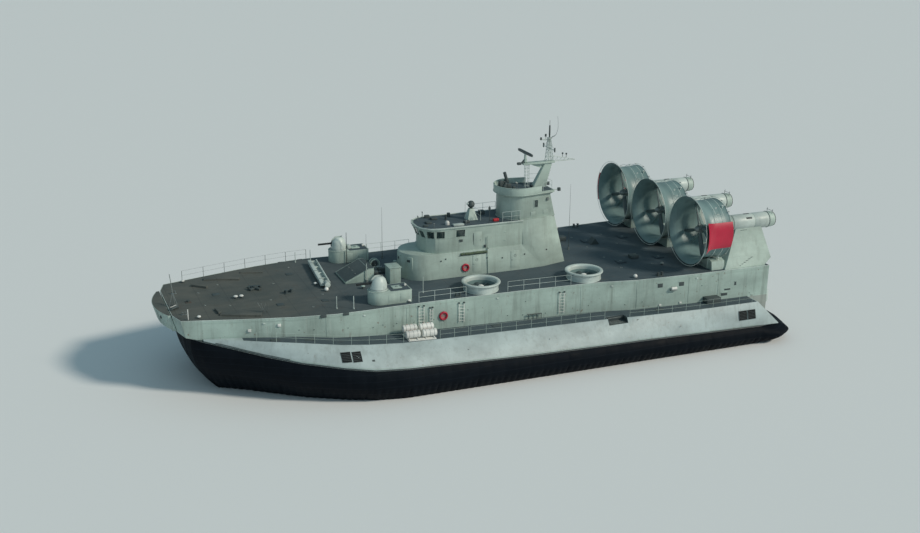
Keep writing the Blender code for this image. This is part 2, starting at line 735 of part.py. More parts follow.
def build_duct(name, y):
    """A shroud with a flared mouth, and four arms that carry the propeller's bearing."""
    flare = DUCT_LIP - DUCT_OUTER
    profile = [
        (DUCT_OUTER + flare * 0.78, 0),
        (DUCT_LIP, -0.03),
        (DUCT_LIP, -0.08),
        (DUCT_OUTER + flare * 0.55, -0.24),
        (DUCT_OUTER + flare * 0.18, -0.48),
        (DUCT_OUTER, -0.75),
        (DUCT_OUTER, -DUCT_LENGTH),
        (DUCT_OUTER - 0.04, -DUCT_LENGTH),
        (DUCT_BORE, -DUCT_LENGTH + 0.30),
        (DUCT_BORE, -0.52),
        (DUCT_BORE + 0.04, -0.36),
        (DUCT_BORE + 0.14, -0.18),
        (DUCT_OUTER + flare * 0.45, -0.04),
    ]
    duct = turned("duct_" + name, profile, (DUCT_FRONT_X, y, DUCT_AXIS_Z), "X", DUCT_STEPS, True, DUCT_GREY)
    strut_x = DUCT_FRONT_X - STRUT_AFT_OF_LIP
    half = STRUT_CHORD / 2
    hub_front = DUCT_FRONT_X - PROP_AFT_OF_LIP - PROP_HUB_AFT - PIN_GAP
    hub_aft = strut_x - STRUT_HUB_AFT
    hub = rod("strut_hub", (hub_aft, y, DUCT_AXIS_Z), hub_front - hub_aft, STRUT_HUB, "X", 16, None, True)
    unite(duct, hub)
    reach = (DUCT_BORE + DUCT_OUTER) / 2
    for angle in (45, 135):
        arm = box("strut", (-half, -reach, -0.025), (half, reach, 0.025), None, True)
        seat = Matrix.Translation((strut_x, y, DUCT_AXIS_Z))
        arm.matrix_world = seat @ Matrix.Rotation(math.radians(angle), 4, "X")
        unite(duct, arm)
    x = DUCT_FRONT_X - RUDDER_AFT_OF_LIP
    depth = rudder_stock_reach() + PIN_GAP
    bore = (RUDDER_STOCK + SEAM) / math.cos(math.pi / STOCK_SIDES)
    for offset in (-RUDDER_OFFSET, RUDDER_OFFSET):
        start = (x, y + offset, DUCT_AXIS_Z - depth)
        cut(duct, rod("stock_bore", start, 2 * depth, bore, "Z", STOCK_SIDES, None, True))


def build_propellers():
    hub = [(0, 0.26), (0.07, 0.23), (0.13, 0.15), (PROP_HUB, 0.04)]
    hub += [(PROP_HUB, -PROP_HUB_AFT), (0, -PROP_HUB_AFT)]
    rings = blade_rings(PROP_HUB - 0.05, DUCT_BORE - 3 * RUNNING, 0.15, 0.22, 55, 24, 0.06, 4)
    mesh = bladed("propeller", hub, rings, PROP_BLADES, math.radians(20), BLADE_GREY)
    for name, y in DUCT_Y.items():
        propeller = bpy.data.objects.new("propeller_" + name, mesh)
        PARTS.objects.link(propeller)
        seat = Matrix.Translation((DUCT_FRONT_X - PROP_AFT_OF_LIP, y, DUCT_AXIS_Z))
        propeller.matrix_world = seat @ AXES["X"]


def build_rudder(name, y):
    """An upright blade of foil section with its stock."""
    x = DUCT_FRONT_X - RUDDER_AFT_OF_LIP
    front, aft, thick = 0.42 * RUDDER_CHORD, -0.58 * RUDDER_CHORD, RUDDER_THICKNESS / 2
    half = [(front * 0.5, thick), (0, thick), (aft, 0.004)]
    foil = [(front, 0)] + half + [(x, -y) for x, y in reversed(half)]
    low, high = -RUDDER_HALF_HEIGHT, RUDDER_HALF_HEIGHT
    rudder = loft("rudder_" + name, [[(u, v, z) for u, v in foil] for z in (low, high)], DUCT_GREY)
    reach = rudder_stock_reach()
    stock = rod("stock", (0, 0, -reach), 2 * reach, RUDDER_STOCK, "Z", STOCK_SIDES, None, True)
    rudder.location = (x, y, DUCT_AXIS_Z)
    stock.location = rudder.location
    unite(rudder, stock)


def build_pylon(name, y, foot, head):
    """A raked fin from the deck to the engine nacelle, with the saddle under the duct."""
    knee = [f + (h - f) * PYLON_KNEE_SHARE for f, h in zip(foot, head)]
    sections = (
        (ON_DECK, PYLON_FOOT_X, foot),
        (PYLON_KNEE_Z, PYLON_KNEE_X, knee),
        (PYLON_TOP_Z, PYLON_HEAD_X, head),
    )
    rings = [[(fore, a, z), (fore, b, z), (aft, b, z), (aft, a, z)] for z, (aft, fore), (a, b) in sections]
    pylon = loft("pylon_" + name, rings, HOUSE_GREY)
    nacelle_z = DUCT_AXIS_Z + NACELLE_RISE
    length = NACELLE_FRONT_X - NACELLE_AFT_X
    profile = [
        (0, 0.5),
        (STRUT_HUB, 0.42),
        (NACELLE_RADIUS, 0),
        (NACELLE_RADIUS, 0.12 - length),
        (NACELLE_RADIUS * 0.9, -length),
        (NACELLE_RADIUS * 0.78, -length),
        (NACELLE_RADIUS * 0.74, 0.25 - length),
        (0, 0.25 - length),
    ]
    unite(pylon, turned("nacelle", profile, (NACELLE_FRONT_X, y, nacelle_z), "X", 24, helper=True))
    shaft_front = DUCT_FRONT_X - STRUT_AFT_OF_LIP - STRUT_HUB_AFT - SEAM
    shaft_aft = NACELLE_FRONT_X - 0.3
    length = shaft_front - shaft_aft
    unite(pylon, rod("gearbox", (shaft_aft, y, DUCT_AXIS_Z), length, GEARBOX_RADIUS, "X", 16, None, True))
    (aft, fore), half = SADDLE_X, SADDLE_HALF
    saddle = box("saddle", (aft, y - half, ON_DECK + 0.002), (fore, y + half, SADDLE_TOP), None, True)
    start, length = (aft - 0.25, y, DUCT_AXIS_Z), fore - aft + 0.6
    shell = rod("shell", start, length, DUCT_OUTER + 2 * SEAM, "X", DUCT_STEPS, None, True)
    cut(saddle, shell)
    unite(pylon, saddle)


def build_propulsion():
    build_propellers()
    for name, y in DUCT_Y.items():
        build_duct(name, y)
        for place_name, offset in (("inner", -RUDDER_OFFSET), ("outer", RUDDER_OFFSET)):
            build_rudder(name + "_" + place_name, y + offset * (-1 if y < 0 else 1))
        outward = -1 if y < 0 else 1
        if y:
            foot = (y - outward * SIDE_FOOT_INSET, outward * (STATIONS[2].wall - 0.03))
        else:
            foot = (-CENTRE_FOOT_HALF, CENTRE_FOOT_HALF)
        head = (y - outward * PYLON_HEAD_HALF, y + outward * PYLON_HEAD_HALF)
        build_pylon(name, y, foot, head)


# Deckhouse, bridge, tower and mast


def house_outline(z, half, nose_x, nose_radius, aft_x):
    """Plan of the house at a height: half-round front, sides that lean in, raked aft end."""
    lean = (z - DECK_TOP) * HOUSE_LEAN
    radius = nose_radius - lean
    front = [
        (nose_x + radius * math.cos(a), radius * math.sin(a))
        for a in [math.radians(angle) for angle in range(-90, 91, 15)]
    ]
    aft = aft_x + (z - DECK_TOP) * HOUSE_RAKE
    full = half - lean
    port = [(x, full * share) for x, share in HOUSE_TAPER] + [(aft, full * HOUSE_END_SHARE)]
    return front + port + [(x, -y) for x, y in reversed(port)]


def build_deckhouse():
    levels = (ON_DECK, HOUSE_TOP)
    rings = [
        [(x, y, z) for x, y in house_outline(z, HOUSE_HALF_WIDTH, HOUSE_NOSE_X, HOUSE_HALF_WIDTH, HOUSE_AFT_X)]
        for z in levels
    ]
    house = loft("deckhouse", rings, HOUSE_GREY)
    rings = []
    for z in (HOUSE_TOP - 0.05, ROOF_TOP):
        lean = (z - DECK_TOP) * HOUSE_LEAN + 0.004
        full = HOUSE_HALF_WIDTH - lean
        aft = HOUSE_AFT_X + (z - DECK_TOP) * HOUSE_RAKE + 0.002
        front = BRIDGE_AFT_X - SEAM
        knee_x, knee_share = HOUSE_TAPER[-1]
        port = [(front, full), (knee_x, full * knee_share), (aft, full * HOUSE_END_SHARE)]
        rings.append([(x, y, z) for x, y in port + [(x, -y) for x, y in reversed(port)]])
    unite(house, loft("aft_block", rings, None, True))


def bridge_outline(half, front_x, aft_x=BRIDGE_AFT_X):
    """Plan of the bridge: flat front panes set round a curve."""
    port = [
        (front_x, half * 0.30),
        (front_x - 0.14, half * 0.66),
        (front_x - 0.48, half * 0.92),
        (front_x - 0.95, half),
        (aft_x, half),
    ]
    return port + [(x, -y) for x, y in reversed(port)]


def build_bridge():
    levels = (
        (HOUSE_TOP + SEAM, BRIDGE_HALF_WIDTH, BRIDGE_FRONT_X),
        (SILL_Z, BRIDGE_HALF_WIDTH - 0.03, BRIDGE_FRONT_X),
        (EAVES_Z, BRIDGE_HALF_WIDTH + 0.02, BRIDGE_FRONT_X + FLARE),
        (ROOF_Z - SEAM, BRIDGE_HALF_WIDTH + 0.02, BRIDGE_FRONT_X + FLARE),
    )
    wall = BRIDGE_WALL
    outer = [[(x, y, z) for x, y in bridge_outline(half, front)] for z, half, front in levels]
    inner = [
        [(x, y, z) for x, y in bridge_outline(half - wall, front - wall, BRIDGE_AFT_X + wall)]
        for z, half, front in reversed(levels)
    ]
    walls = loft("bridge_walls", outer + inner, HOUSE_GREY, looped=True)
    low, high = SILL_Z + 0.04, EAVES_Z - 0.04
    half = BRIDGE_HALF_WIDTH
    front = BRIDGE_FRONT_X
    tools = [box("pane", (front - 0.2, -0.27, low), (front + 0.4, 0.27, high), None, True)]
    for side in (1, -1):
        for (x1, y1), (x2, y2) in zip(bridge_outline(half, front)[:4], bridge_outline(half, front)[1:4]):
            middle = Vector(((x1 + x2) / 2, side * (y1 + y2) / 2, (low + high) / 2))
            turn = math.atan2(side * (y2 - y1), x2 - x1)
            width = math.hypot(x2 - x1, y2 - y1) - 0.11
            reach = (high - low) / 2
            pane = box("pane", (-width / 2, -0.3, -reach), (width / 2, 0.3, reach), None, True)
            pane.matrix_world = Matrix.Translation(middle) @ Matrix.Rotation(turn, 4, "Z")
            tools.append(pane)
        y = side * half
        tools.append(box("pane", (SIDE_PANE_X[0], y - 0.2, low), (SIDE_PANE_X[1], y + 0.2, high), None, True))
    cut(walls, *tools)
    edge = [(x + (ROOF_EDGE if x > 0 else 0), y * 1.04) for x, y in bridge_outline(half + 0.02, front + FLARE)]
    roof = prism("bridge_roof", edge, ROOF_Z, ROOF_TOP, HOUSE_GREY)
    base = [(-0.26, -0.26), (0.26, -0.26), (0.26, 0.26), (-0.26, 0.26)]
    rings = [
        [(DIRECTOR_X + x * size, y * size, z) for x, y in base]
        for size, z in ((1, ROOF_TOP - 0.02), (0.4, DIRECTOR_HEAD_Z - DIRECTOR_RADIUS - 0.03))
    ]
    unite(roof, loft("director_base", rings, None, True))


def build_director():
    radius = DIRECTOR_RADIUS
    arc = [math.radians(angle) for angle in (90, 60, 30, 0, -30, -60)]
    profile = [(radius * math.cos(a), radius * math.sin(a)) for a in arc]
    profile[0] = (0, radius)
    profile += [(0.07, -radius - 0.03 + PIN_GAP), (0, -radius - 0.03 + PIN_GAP)]
    turned("director_head", profile, (DIRECTOR_X, 0, DIRECTOR_HEAD_Z), steps=20, material=HOUSE_GREY)


def tower_outline(z, radius, nose_x, extra=0.0):
    aft = HOUSE_AFT_X + (z - DECK_TOP) * HOUSE_RAKE
    return round_nose(nose_x, radius + extra, aft - extra, radius * 0.72 + extra)


def build_tower():
    rings = []
    edge = PLATFORM_EDGE
    levels = ((ROOF_TOP + SEAM, 0), (TOWER_TOP, 0), (PLATFORM_TOP - 0.1, edge), (BULWARK_TOP, edge))
    for z, extra in levels:
        outline = tower_outline(min(z, TOWER_TOP), TOWER_RADIUS, TOWER_NOSE_X, extra)
        rings.append([(x, y, z) for x, y in outline])
    tower = loft("tower", rings, HOUSE_GREY)
    inside = tower_outline(TOWER_TOP, TOWER_RADIUS, TOWER_NOSE_X, edge - BULWARK_WALL)
    well_top = BULWARK_TOP + edge
    rings = [[(x, y, z) for x, y in inside] for z in (PLATFORM_TOP, well_top)]
    cut(tower, loft("platform_well", rings, None, True))
    half = TOWER_RADIUS + 2 * edge
    aft = box("open_aft", (-5, -half, PLATFORM_TOP), (BULWARK_AFT_X, half, well_top), None, True)
    cut(tower, aft)


def build_mast():
    base = PLATFORM_TOP + SEAM
    levels = ((base, MAST_FOOT), (MAST_HEAD_Z, MAST_NECK))
    rings = [[(aft, -w, z), (fore, -w, z), (fore, w, z), (aft, w, z)] for z, (aft, fore, w) in levels]
    mast = loft("mast", rings, HOUSE_GREY)
    head = MAST_HEAD_Z
    pole_foot = MAST_TOP_Z - 0.05
    pieces = [
        rod("radar_post", (RADAR_X, 0, head), RADAR_Z - head - 0.13, 0.06, "Z", 12, None, True),
        rod("topmast", (POLE_X, 0, head), MAST_TOP_Z - head, 0.085, "Z", 8, None, True, 0.05),
        rod("pole", (POLE_X, 0, pole_foot), POLE_TOP_Z - pole_foot, 0.022, "Z", 8, None, True, 0.010),
    ]
    for arm, ((aft, fore), half, (low, high)) in MAST_ARMS.items():
        pieces.append(box(arm, (aft, -half, low), (fore, half, high), None, True))
    unite(mast, *pieces)


def build_radar():
    half = RADAR_SPAN / 2
    low = RADAR_Z - 0.13 + PIN_GAP
    corner = Vector((0.05, half, 0.07))
    middle = Vector((RADAR_X, 0, RADAR_Z))
    bar = box("radar_antenna", middle - corner, middle + corner, DECK_GREY)
    unite(bar, rod("radar_hub", (RADAR_X, 0, low), 0.1, 0.055, "Z", 12, None, True))


# Guns


def build_gun(name, side):
    y = side * GUN_Y
    outline = [(x, y + v) for x, v in round_nose(GUN_X, GUN_HOUSE_RADIUS, GUN_HOUSE_AFT_X, GUN_HOUSE_RADIUS, 5)]
    prism("gun_house_" + name, outline, ON_DECK, GUN_HOUSE_TOP, HOUSE_GREY)
    low = GUN_HOUSE_TOP + PIN_GAP
    r = TURRET_RADIUS
    top = TURRET_TOP
    profile = [(0, top), (r * 0.5, top - 0.05), (r * 0.85, top - 0.18), (r, top - 0.36)]
    profile += [(r, low + 0.06), (r * 1.08, low + 0.05), (r * 1.08, low), (0, low)]
    turret = turned("turret_" + name, profile, (GUN_X, y, 0), steps=24, material=HOUSE_GREY)
    half = GUN_WIDTH / 2 + RUNNING
    slot = box("slot", (GUN_X - 0.17, y - half, TRUNNION_Z - 0.15), (GUN_X + 0.6, y + half, 5.2), None, True)
    cut(turret, slot)
    half = GUN_WIDTH / 2
    low, high = TRUNNION_Z - 0.09, TRUNNION_Z + 0.09
    gun = box("gun_" + name, (GUN_X - 0.10, y - half, low), (GUN_X + 0.26, y + half, high), GUN_METAL)
    barrel = rod("barrel", (GUN_X + 0.2, y, TRUNNION_Z), GUN_REACH - 0.2, BARREL_RADIUS, "X", 12, None, True)
    pin_half = half + RUNNING - PIN_GAP
    trunnion = rod("trunnion", (GUN_X, y - pin_half, TRUNNION_Z), 2 * pin_half, 0.05, "Y", 12, None, True)
    unite(gun, barrel, trunnion)


# Deck fittings


def build_stowed_gangway():
    """A trough-shaped gangway that lies on chocks across the deck, with a drum at its port end."""
    wall = GANGWAY_WALL
    base = GANGWAY_BASE
    width, high = GANGWAY_WIDTH, GANGWAY_HEIGHT
    length = GANGWAY_LENGTH
    section = [
        (0, base),
        (width, base),
        (width, high),
        (width - 3 * wall, high),
        (width - 3 * wall, base + wall),
        (wall, base + wall),
        (wall, high),
        (0, high),
    ]
    gangway = loft("stowed_gangway", [[(x, y, z) for x, z in section] for y in (0, length)], HOUSE_GREY)
    pieces = []
    for y in GANGWAY_CHOCK_Y:
        pieces.append(box("chock", (0.02, y, 0), (width - 0.02, y + 0.1, base + 0.01), None, True))
    for y in GANGWAY_RUNG_Y:
        pieces.append(box("rung", (0.01, y, base), (width - 0.01, y + 0.04, high - 0.05), None, True))
    pieces.append(rod("drum", (width / 2 - 0.05, length - 0.06, high - 0.05), 0.34, 0.13, "Y", 12, None, True))
    seat = Matrix.Translation((*GANGWAY_END, ON_DECK)) @ Matrix.Rotation(math.radians(-GANGWAY_TURN), 4, "Z")
    for piece in [gangway] + pieces:
        piece.matrix_world = seat @ piece.matrix_world
    unite(gangway, *pieces)


def walk_height(x):
    """Height of the walkway at a place along the craft."""
    for aft, fore in zip(STATIONS, STATIONS[1:]):
        if aft.x <= x <= fore.x:
            return aft.walk_z + (fore.walk_z - aft.walk_z) * (x - aft.x) / (fore.x - aft.x)
    return DECK_TOP


def build_raft_rack(name, side):
    """A sloping rack on the walkway with two pairs of raft canisters."""
    inner, outer = RAFT_INNER_Y, RAFT_OUTER_Y
    fall = (RAFT_HIGH - RAFT_LOW) / (outer - inner)
    ends = (RAFT_X[0] - RAFT_LENGTH / 2 + 0.06, RAFT_X[-1] + RAFT_LENGTH / 2 - 0.06)
    rings = []
    for x in ends:
        seat = walk_height(x) + SEAM
        ring = [(x, inner, seat), (x, outer, seat), (x, outer, seat + 0.04), (x, inner, seat + 0.04)]
        rings.append(mirrored(ring, side))
    rack = loft("raft_rack_" + name, rings, HOUSE_GREY)
    for x in RAFT_X:
        base = walk_height(x)
        for end in (-0.3, 0.3):
            at = x + end * RAFT_LENGTH
            cradle = [(inner, 0.03), (outer, 0.03), (outer, RAFT_LOW), (inner, RAFT_HIGH)]
            web = [mirrored([(at + t, y, base + z) for y, z in cradle], side) for t in (-0.02, 0.02)]
            unite(rack, loft("cradle", web, None, True))
        for y in (inner + RAFT_RADIUS + 0.07, outer - RAFT_RADIUS - 0.07):
            z = base + RAFT_HIGH - fall * (y - inner) + RAFT_RADIUS - 0.02
            start = (x - RAFT_LENGTH / 2, side * y, z)
            unite(rack, rod("canister", start, RAFT_LENGTH, RAFT_RADIUS, "X", 16, None, True))


def build_deck_houses():
    (x1, y1), (x2, y2) = VENT_HOUSE
    high = DECK_TOP + VENT_HOUSE_HEIGHT
    side = [(x1, ON_DECK), (x2, ON_DECK), (x2, ON_DECK + 0.08), (x1 + 0.25, high), (x1, high)]
    loft("vent_house", [[(x, y, z) for x, z in side] for y in (y1, y2)], HOUSE_GREY)
    (x1, y1), (x2, y2) = LOCKER_HOUSE
    box("locker_house", (x1, y1, ON_DECK), (x2, y2, DECK_TOP + LOCKER_HOUSE_HEIGHT), HOUSE_GREY)


def build_all():
    build_pontoon()
    build_bow_block()
    build_main_deck()
    build_bow_ramp()
    build_stern_ramp()
    build_skirts()
    build_cushion_keel()
    build_lift_fans()
    build_propulsion()
    build_deckhouse()
    build_bridge()
    build_director()
    build_tower()
    build_mast()
    build_radar()
    build_stowed_gangway()
    build_deck_houses()
    for name, side in SIDES.items():
        build_side_hull(name, side)
        build_sponson(name, side)
        build_raft_rack(name, side)
        build_gun(name, side)


build_all()
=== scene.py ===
import math
from collections import namedtuple

import bmesh
import bpy
from mathutils import Matrix, Vector, noise


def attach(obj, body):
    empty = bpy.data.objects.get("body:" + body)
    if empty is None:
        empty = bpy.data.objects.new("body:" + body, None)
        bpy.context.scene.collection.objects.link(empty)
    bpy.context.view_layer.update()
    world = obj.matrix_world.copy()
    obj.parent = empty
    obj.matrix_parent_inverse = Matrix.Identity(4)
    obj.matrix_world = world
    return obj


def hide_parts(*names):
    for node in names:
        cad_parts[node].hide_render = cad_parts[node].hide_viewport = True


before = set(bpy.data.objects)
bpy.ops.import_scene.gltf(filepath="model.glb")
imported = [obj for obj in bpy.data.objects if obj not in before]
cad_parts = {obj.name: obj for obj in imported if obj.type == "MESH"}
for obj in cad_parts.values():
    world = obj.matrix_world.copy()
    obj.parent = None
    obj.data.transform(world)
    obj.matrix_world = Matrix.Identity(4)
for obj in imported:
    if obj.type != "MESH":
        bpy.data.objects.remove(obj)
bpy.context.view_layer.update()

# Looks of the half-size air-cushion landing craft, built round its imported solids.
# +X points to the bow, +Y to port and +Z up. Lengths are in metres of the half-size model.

TAU = 2 * math.pi
SIDES = {"port": 1, "starboard": -1}

# Places taken over from the solids
DECK_TOP = 3.516
Station = namedtuple("Station", "x wall walk_z apron knuckle knuckle_z")
STATIONS = [
    Station(-13.68, 4.753, 0.970, 5.840, 5.869, 0.921),
    Station(-12.61, 4.729, 2.061, 5.577, 5.869, 0.946),
    Station(-9.50, 4.656, 2.061, 5.529, 5.869, 1.018),
    Station(-6.60, 4.486, 2.061, 5.335, 5.869, 1.091),
    Station(-4.66, 4.122, 2.085, 5.189, 5.869, 1.115),
    Station(-0.78, 3.928, 2.110, 5.044, 5.869, 1.188),
    Station(3.10, 3.852, 2.183, 4.995, 5.869, 1.334),
    Station(5.04, 3.866, 2.255, 5.044, 5.869, 1.406),
    Station(6.50, 3.928, 2.352, 4.947, 5.796, 1.504),
    Station(7.66, 3.904, 2.449, 4.801, 5.481, 1.649),
    Station(9.41, 3.637, 2.643, 4.413, 4.801, 1.891),
    Station(10.62, 3.347, 2.667, 3.880, 4.122, 2.085),
    Station(11.83, 3.031, 2.692, 3.298, 3.395, 2.330),
    Station(13.05, 2.692, 2.692, 2.789, 2.813, 2.620),
]
NOSE_CORNERS = ((13.87, 2.474), (14.12, 1.66))
RAMP_HALF = 1.62
DUCT_Y = {"port": 3.618, "centre": 0.0, "starboard": -3.618}
DUCT_FRONT = -9.63
DUCT_Z = 5.354
FANS = {"fore": (0.66, 3.10), "aft": (-4.42, 3.30)}
FAN_Z = 3.60
GUN_X, GUN_Y, TRUNNION_Z = 5.48, 3.104, 4.42
ROOF_TOP = 5.88
PLATFORM_TOP = 7.154
BULWARK_TOP = 7.39
# How far a fitting's foot goes into what carries it, and the usual bars of a rail as shares of its height
SINK = 0.002
HALF_BARS = (0.5, 1.0)


def at_station(x, field):
    """A hull measure at any place along the craft."""
    rows = STATIONS
    if x <= rows[0].x:
        return getattr(rows[0], field)
    for a, b in zip(rows, rows[1:]):
        if x <= b.x:
            share = (x - a.x) / (b.x - a.x)
            return getattr(a, field) + (getattr(b, field) - getattr(a, field)) * share
    return getattr(rows[-1], field)


def circle(count):
    """Cosine and sine at equal steps of a full turn."""
    return [(math.cos(TAU * k / count), math.sin(TAU * k / count)) for k in range(count)]


def half_circle(count):
    """Cosine and sine at equal steps from -90 to 90 degrees, both ends included."""
    angles = [math.pi * (k / count - 0.5) for k in range(count + 1)]
    return [(math.cos(angle), math.sin(angle)) for angle in angles]


def framed(x_axis, y_axis, z_axis, place):
    """Local axes at a place."""
    turn = Matrix((x_axis, y_axis, z_axis)).transposed().to_4x4()
    turn.translation = place
    return turn


def turned_to(place, angle, axis="Z"):
    """A place turned by an angle round one axis."""
    return Matrix.Translation(place) @ Matrix.Rotation(angle, 4, axis)


def linked(name, data):
    """A new object in the scene."""
    made = bpy.data.objects.new(name, data)
    bpy.context.scene.collection.objects.link(made)
    return made


# Materials


class Surface:
    """A node material, built up from object-space noise."""

    def __init__(self, name):
        self.material = bpy.data.materials.new(name)
        self.material.use_nodes = True
        self.tree = self.material.node_tree
        self.shader = self.tree.nodes["Principled BSDF"]
        self.place = self.tree.nodes.new("ShaderNodeTexCoord").outputs["Object"]

    def node(self, kind, inputs=(), **settings):
        made = self.tree.nodes.new(kind)
        for key, value in settings.items():
            setattr(made, key, value)
        for key, value in dict(inputs).items():
            if isinstance(value, bpy.types.NodeSocket):
                self.tree.links.new(value, made.inputs[key])
            else:
                made.inputs[key].default_value = value
        return made

    def stretched(self, scale):
        return self.node("ShaderNodeMapping", {"Vector": self.place, "Scale": scale}).outputs["Vector"]

    def noise(self, scale, size=1.0, detail=4.0, rough=0.6):
        made = self.node(
            "ShaderNodeTexNoise", {"Vector": self.stretched(scale), "Scale": size, "Detail": detail, "Roughness": rough}
        )
        return made.outputs["Fac"]

    def between(self, value, low, high, to_low=0.0, to_high=1.0):
        """The value brought from low..high to 0..1, and held there beyond."""
        names = {"Value": value, "From Min": low, "From Max": high, "To Min": to_low, "To Max": to_high}
        return self.node("ShaderNodeMapRange", names, clamp=True).outputs["Result"]

    def maths(self, operation, a, b=0.0):
        return self.node("ShaderNodeMath", {0: a, 1: b}, operation=operation).outputs[0]

    def mix(self, share, a, b):
        a, b = (c if isinstance(c, bpy.types.NodeSocket) else (*c, 1.0) for c in (a, b))
        made = self.node("ShaderNodeMix", {0: share, 6: a, 7: b}, data_type="RGBA")
        return made.outputs[2]

    def along(self, axis):
        return self.node("ShaderNodeSeparateXYZ", {0: self.place}).outputs[axis]

    def lines(self, axis, period, width, shift=0.0):
        """1 on thin lines square to an axis, one in each period."""
        moved = self.maths("ADD", self.along(axis), shift + 1000 * period)
        part = self.maths("FRACT", self.maths("DIVIDE", moved, period))
        off = self.maths("ABSOLUTE", self.maths("SUBTRACT", part, 0.5))
        return self.between(off, width / period, 0.4 * width / period)

    def set(self, colour, roughness, metallic=0.0):
        self.wire(colour, "Base Color")
        self.wire(roughness, "Roughness")
        self.shader.inputs["Metallic"].default_value = metallic

    def wire(self, value, socket):
        if isinstance(value, bpy.types.NodeSocket):
            self.tree.links.new(value, self.shader.inputs[socket])
        elif socket == "Base Color":
            self.shader.inputs[socket].default_value = (*value, 1.0)
        else:
            self.shader.inputs[socket].default_value = value

    def bump(self, *layers):
        """Layers of (height, strength, distance), one on the other."""
        normal = None
        for height, strength, distance in layers:
            inputs = {"Height": height, "Strength": strength, "Distance": distance}
            if normal is not None:
                inputs["Normal"] = normal
            normal = self.node("ShaderNodeBump", inputs).outputs["Normal"]
        self.tree.links.new(normal, self.shader.inputs["Normal"])


def ship_paint(name, colour, rough=0.5, plate=None, grime=0.5, rust=0.5, streak=0.5):
    """Weathered ship's paint: faded patches, rain streaks, chips, rust runs and welded plate lines."""
    s = Surface(name)
    light = tuple(min(1.0, c * 1.10 + 0.008) for c in colour)
    dark = tuple(c * 0.74 for c in colour)
    dirt = (0.105, 0.115, 0.095)
    fade = s.noise((0.55, 0.55, 0.8), 1.0, 5, 0.6)
    tone = s.mix(s.between(fade, 0.32, 0.70), dark, light)
    runs = s.noise((3.6, 3.6, 0.30), 1.0, 6, 0.65)
    tone = s.mix(s.maths("MULTIPLY", s.between(runs, 0.52, 0.78), streak), tone, dirt)
    pale = s.noise((5.5, 5.5, 0.45), 1.0, 5, 0.6)
    tone = s.mix(s.maths("MULTIPLY", s.between(pale, 0.60, 0.80), 0.35 * streak), tone, (0.66, 0.68, 0.64))
    grit = s.noise((1, 1, 1), 9.0, 7, 0.72)
    tone = s.mix(s.maths("MULTIPLY", s.between(grit, 0.56, 0.74), 0.42 * grime), tone, dirt)
    spots = s.between(s.noise((1, 1, 0.8), 6.5, 4, 0.55), 0.665, 0.70)
    trails = s.between(s.noise((9.0, 9.0, 0.55), 1.0, 4, 0.6), 0.665, 0.76)
    rusty = s.maths("MULTIPLY", s.maths("MAXIMUM", spots, trails), rust)
    tone = s.mix(rusty, tone, (0.155, 0.072, 0.036))
    layers = [(fade, 0.25, 0.03), (grit, 0.12, 0.004)]
    if plate:
        seam = None
        for axis, period, shift in plate:
            line = s.lines(axis, period, 0.010, shift)
            seam = line if seam is None else s.maths("MAXIMUM", seam, line)
        tone = s.mix(s.maths("MULTIPLY", seam, 0.38), tone, dark)
        layers.append((seam, 0.4, 0.006))
    rough_map = s.between(grit, 0.3, 0.75, rough - 0.07, rough + 0.14)
    s.set(tone, rough_map)
    s.bump(*layers)
    return s.material


def deck_paint(name, browned=1.0):
    """Non-slip deck paint: slate aft, browned and scuffed on the foredeck."""
    s = Surface(name)
    forward = s.between(s.along(0), 4.5, 9.5, 0.0, browned)
    patch = s.noise((0.5, 0.8, 1), 1.3, 5, 0.6)
    slate = s.mix(s.between(patch, 0.3, 0.7), (0.042, 0.066, 0.080), (0.070, 0.098, 0.114))
    brown = s.mix(s.between(patch, 0.3, 0.7), (0.062, 0.074, 0.070), (0.108, 0.113, 0.101))
    tone = s.mix(forward, slate, brown)
    worn = s.between(s.noise((1.2, 3.0, 1), 1.6, 7, 0.7), 0.55, 0.75)
    tone = s.mix(s.maths("MULTIPLY", worn, 0.35), tone, (0.16, 0.165, 0.16))
    stain = s.between(s.noise((1, 1, 1), 2.4, 5, 0.6), 0.60, 0.72)
    tone = s.mix(s.maths("MULTIPLY", stain, 0.32), tone, (0.075, 0.056, 0.042))
    seam = s.maths("MAXIMUM", s.lines(0, 1.21, 0.012), s.lines(1, 1.005, 0.012, 0.5))
    tone = s.mix(s.maths("MULTIPLY", seam, 0.45), tone, (0.02, 0.026, 0.030))
    grit = s.noise((1, 1, 1), 90.0, 3, 0.7)
    s.set(tone, s.between(patch, 0.3, 0.7, 0.62, 0.84))
    s.bump((seam, 0.5, 0.006), (grit, 0.30, 0.003))
    return s.material


def rubber(name, colour, rough=0.42, ply=0.30):
    """Rubber-coated cloth: a fine weave, glued ply seams, scuffs and dried salt."""
    s = Surface(name)
    cloud = s.noise((0.8, 0.8, 1.6), 1.2, 6, 0.65)
    tone = s.mix(s.between(cloud, 0.3, 0.72), colour, tuple(c * 1.5 + 0.001 for c in colour))
    salt = s.between(s.noise((4.0, 4.0, 0.7), 1.0, 7, 0.7), 0.60, 0.80)
    tone = s.mix(s.maths("MULTIPLY", salt, 0.02), tone, (0.10, 0.14, 0.17))
    seam = s.lines(2, ply, 0.018)
    tone = s.mix(s.maths("MULTIPLY", seam, 0.5), tone, tuple(c * 2.2 + 0.002 for c in colour))
    weave = s.maths("MULTIPLY", s.lines(2, 0.012, 0.005), s.lines(0, 0.012, 0.005))
    s.set(tone, s.between(cloud, 0.3, 0.7, rough - 0.08, rough + 0.12))
    s.shader.inputs["Specular IOR Level"].default_value = 0.05
    s.bump((cloud, 0.25, 0.03), (seam, 0.6, 0.008), (weave, 0.18, 0.002))
    return s.material


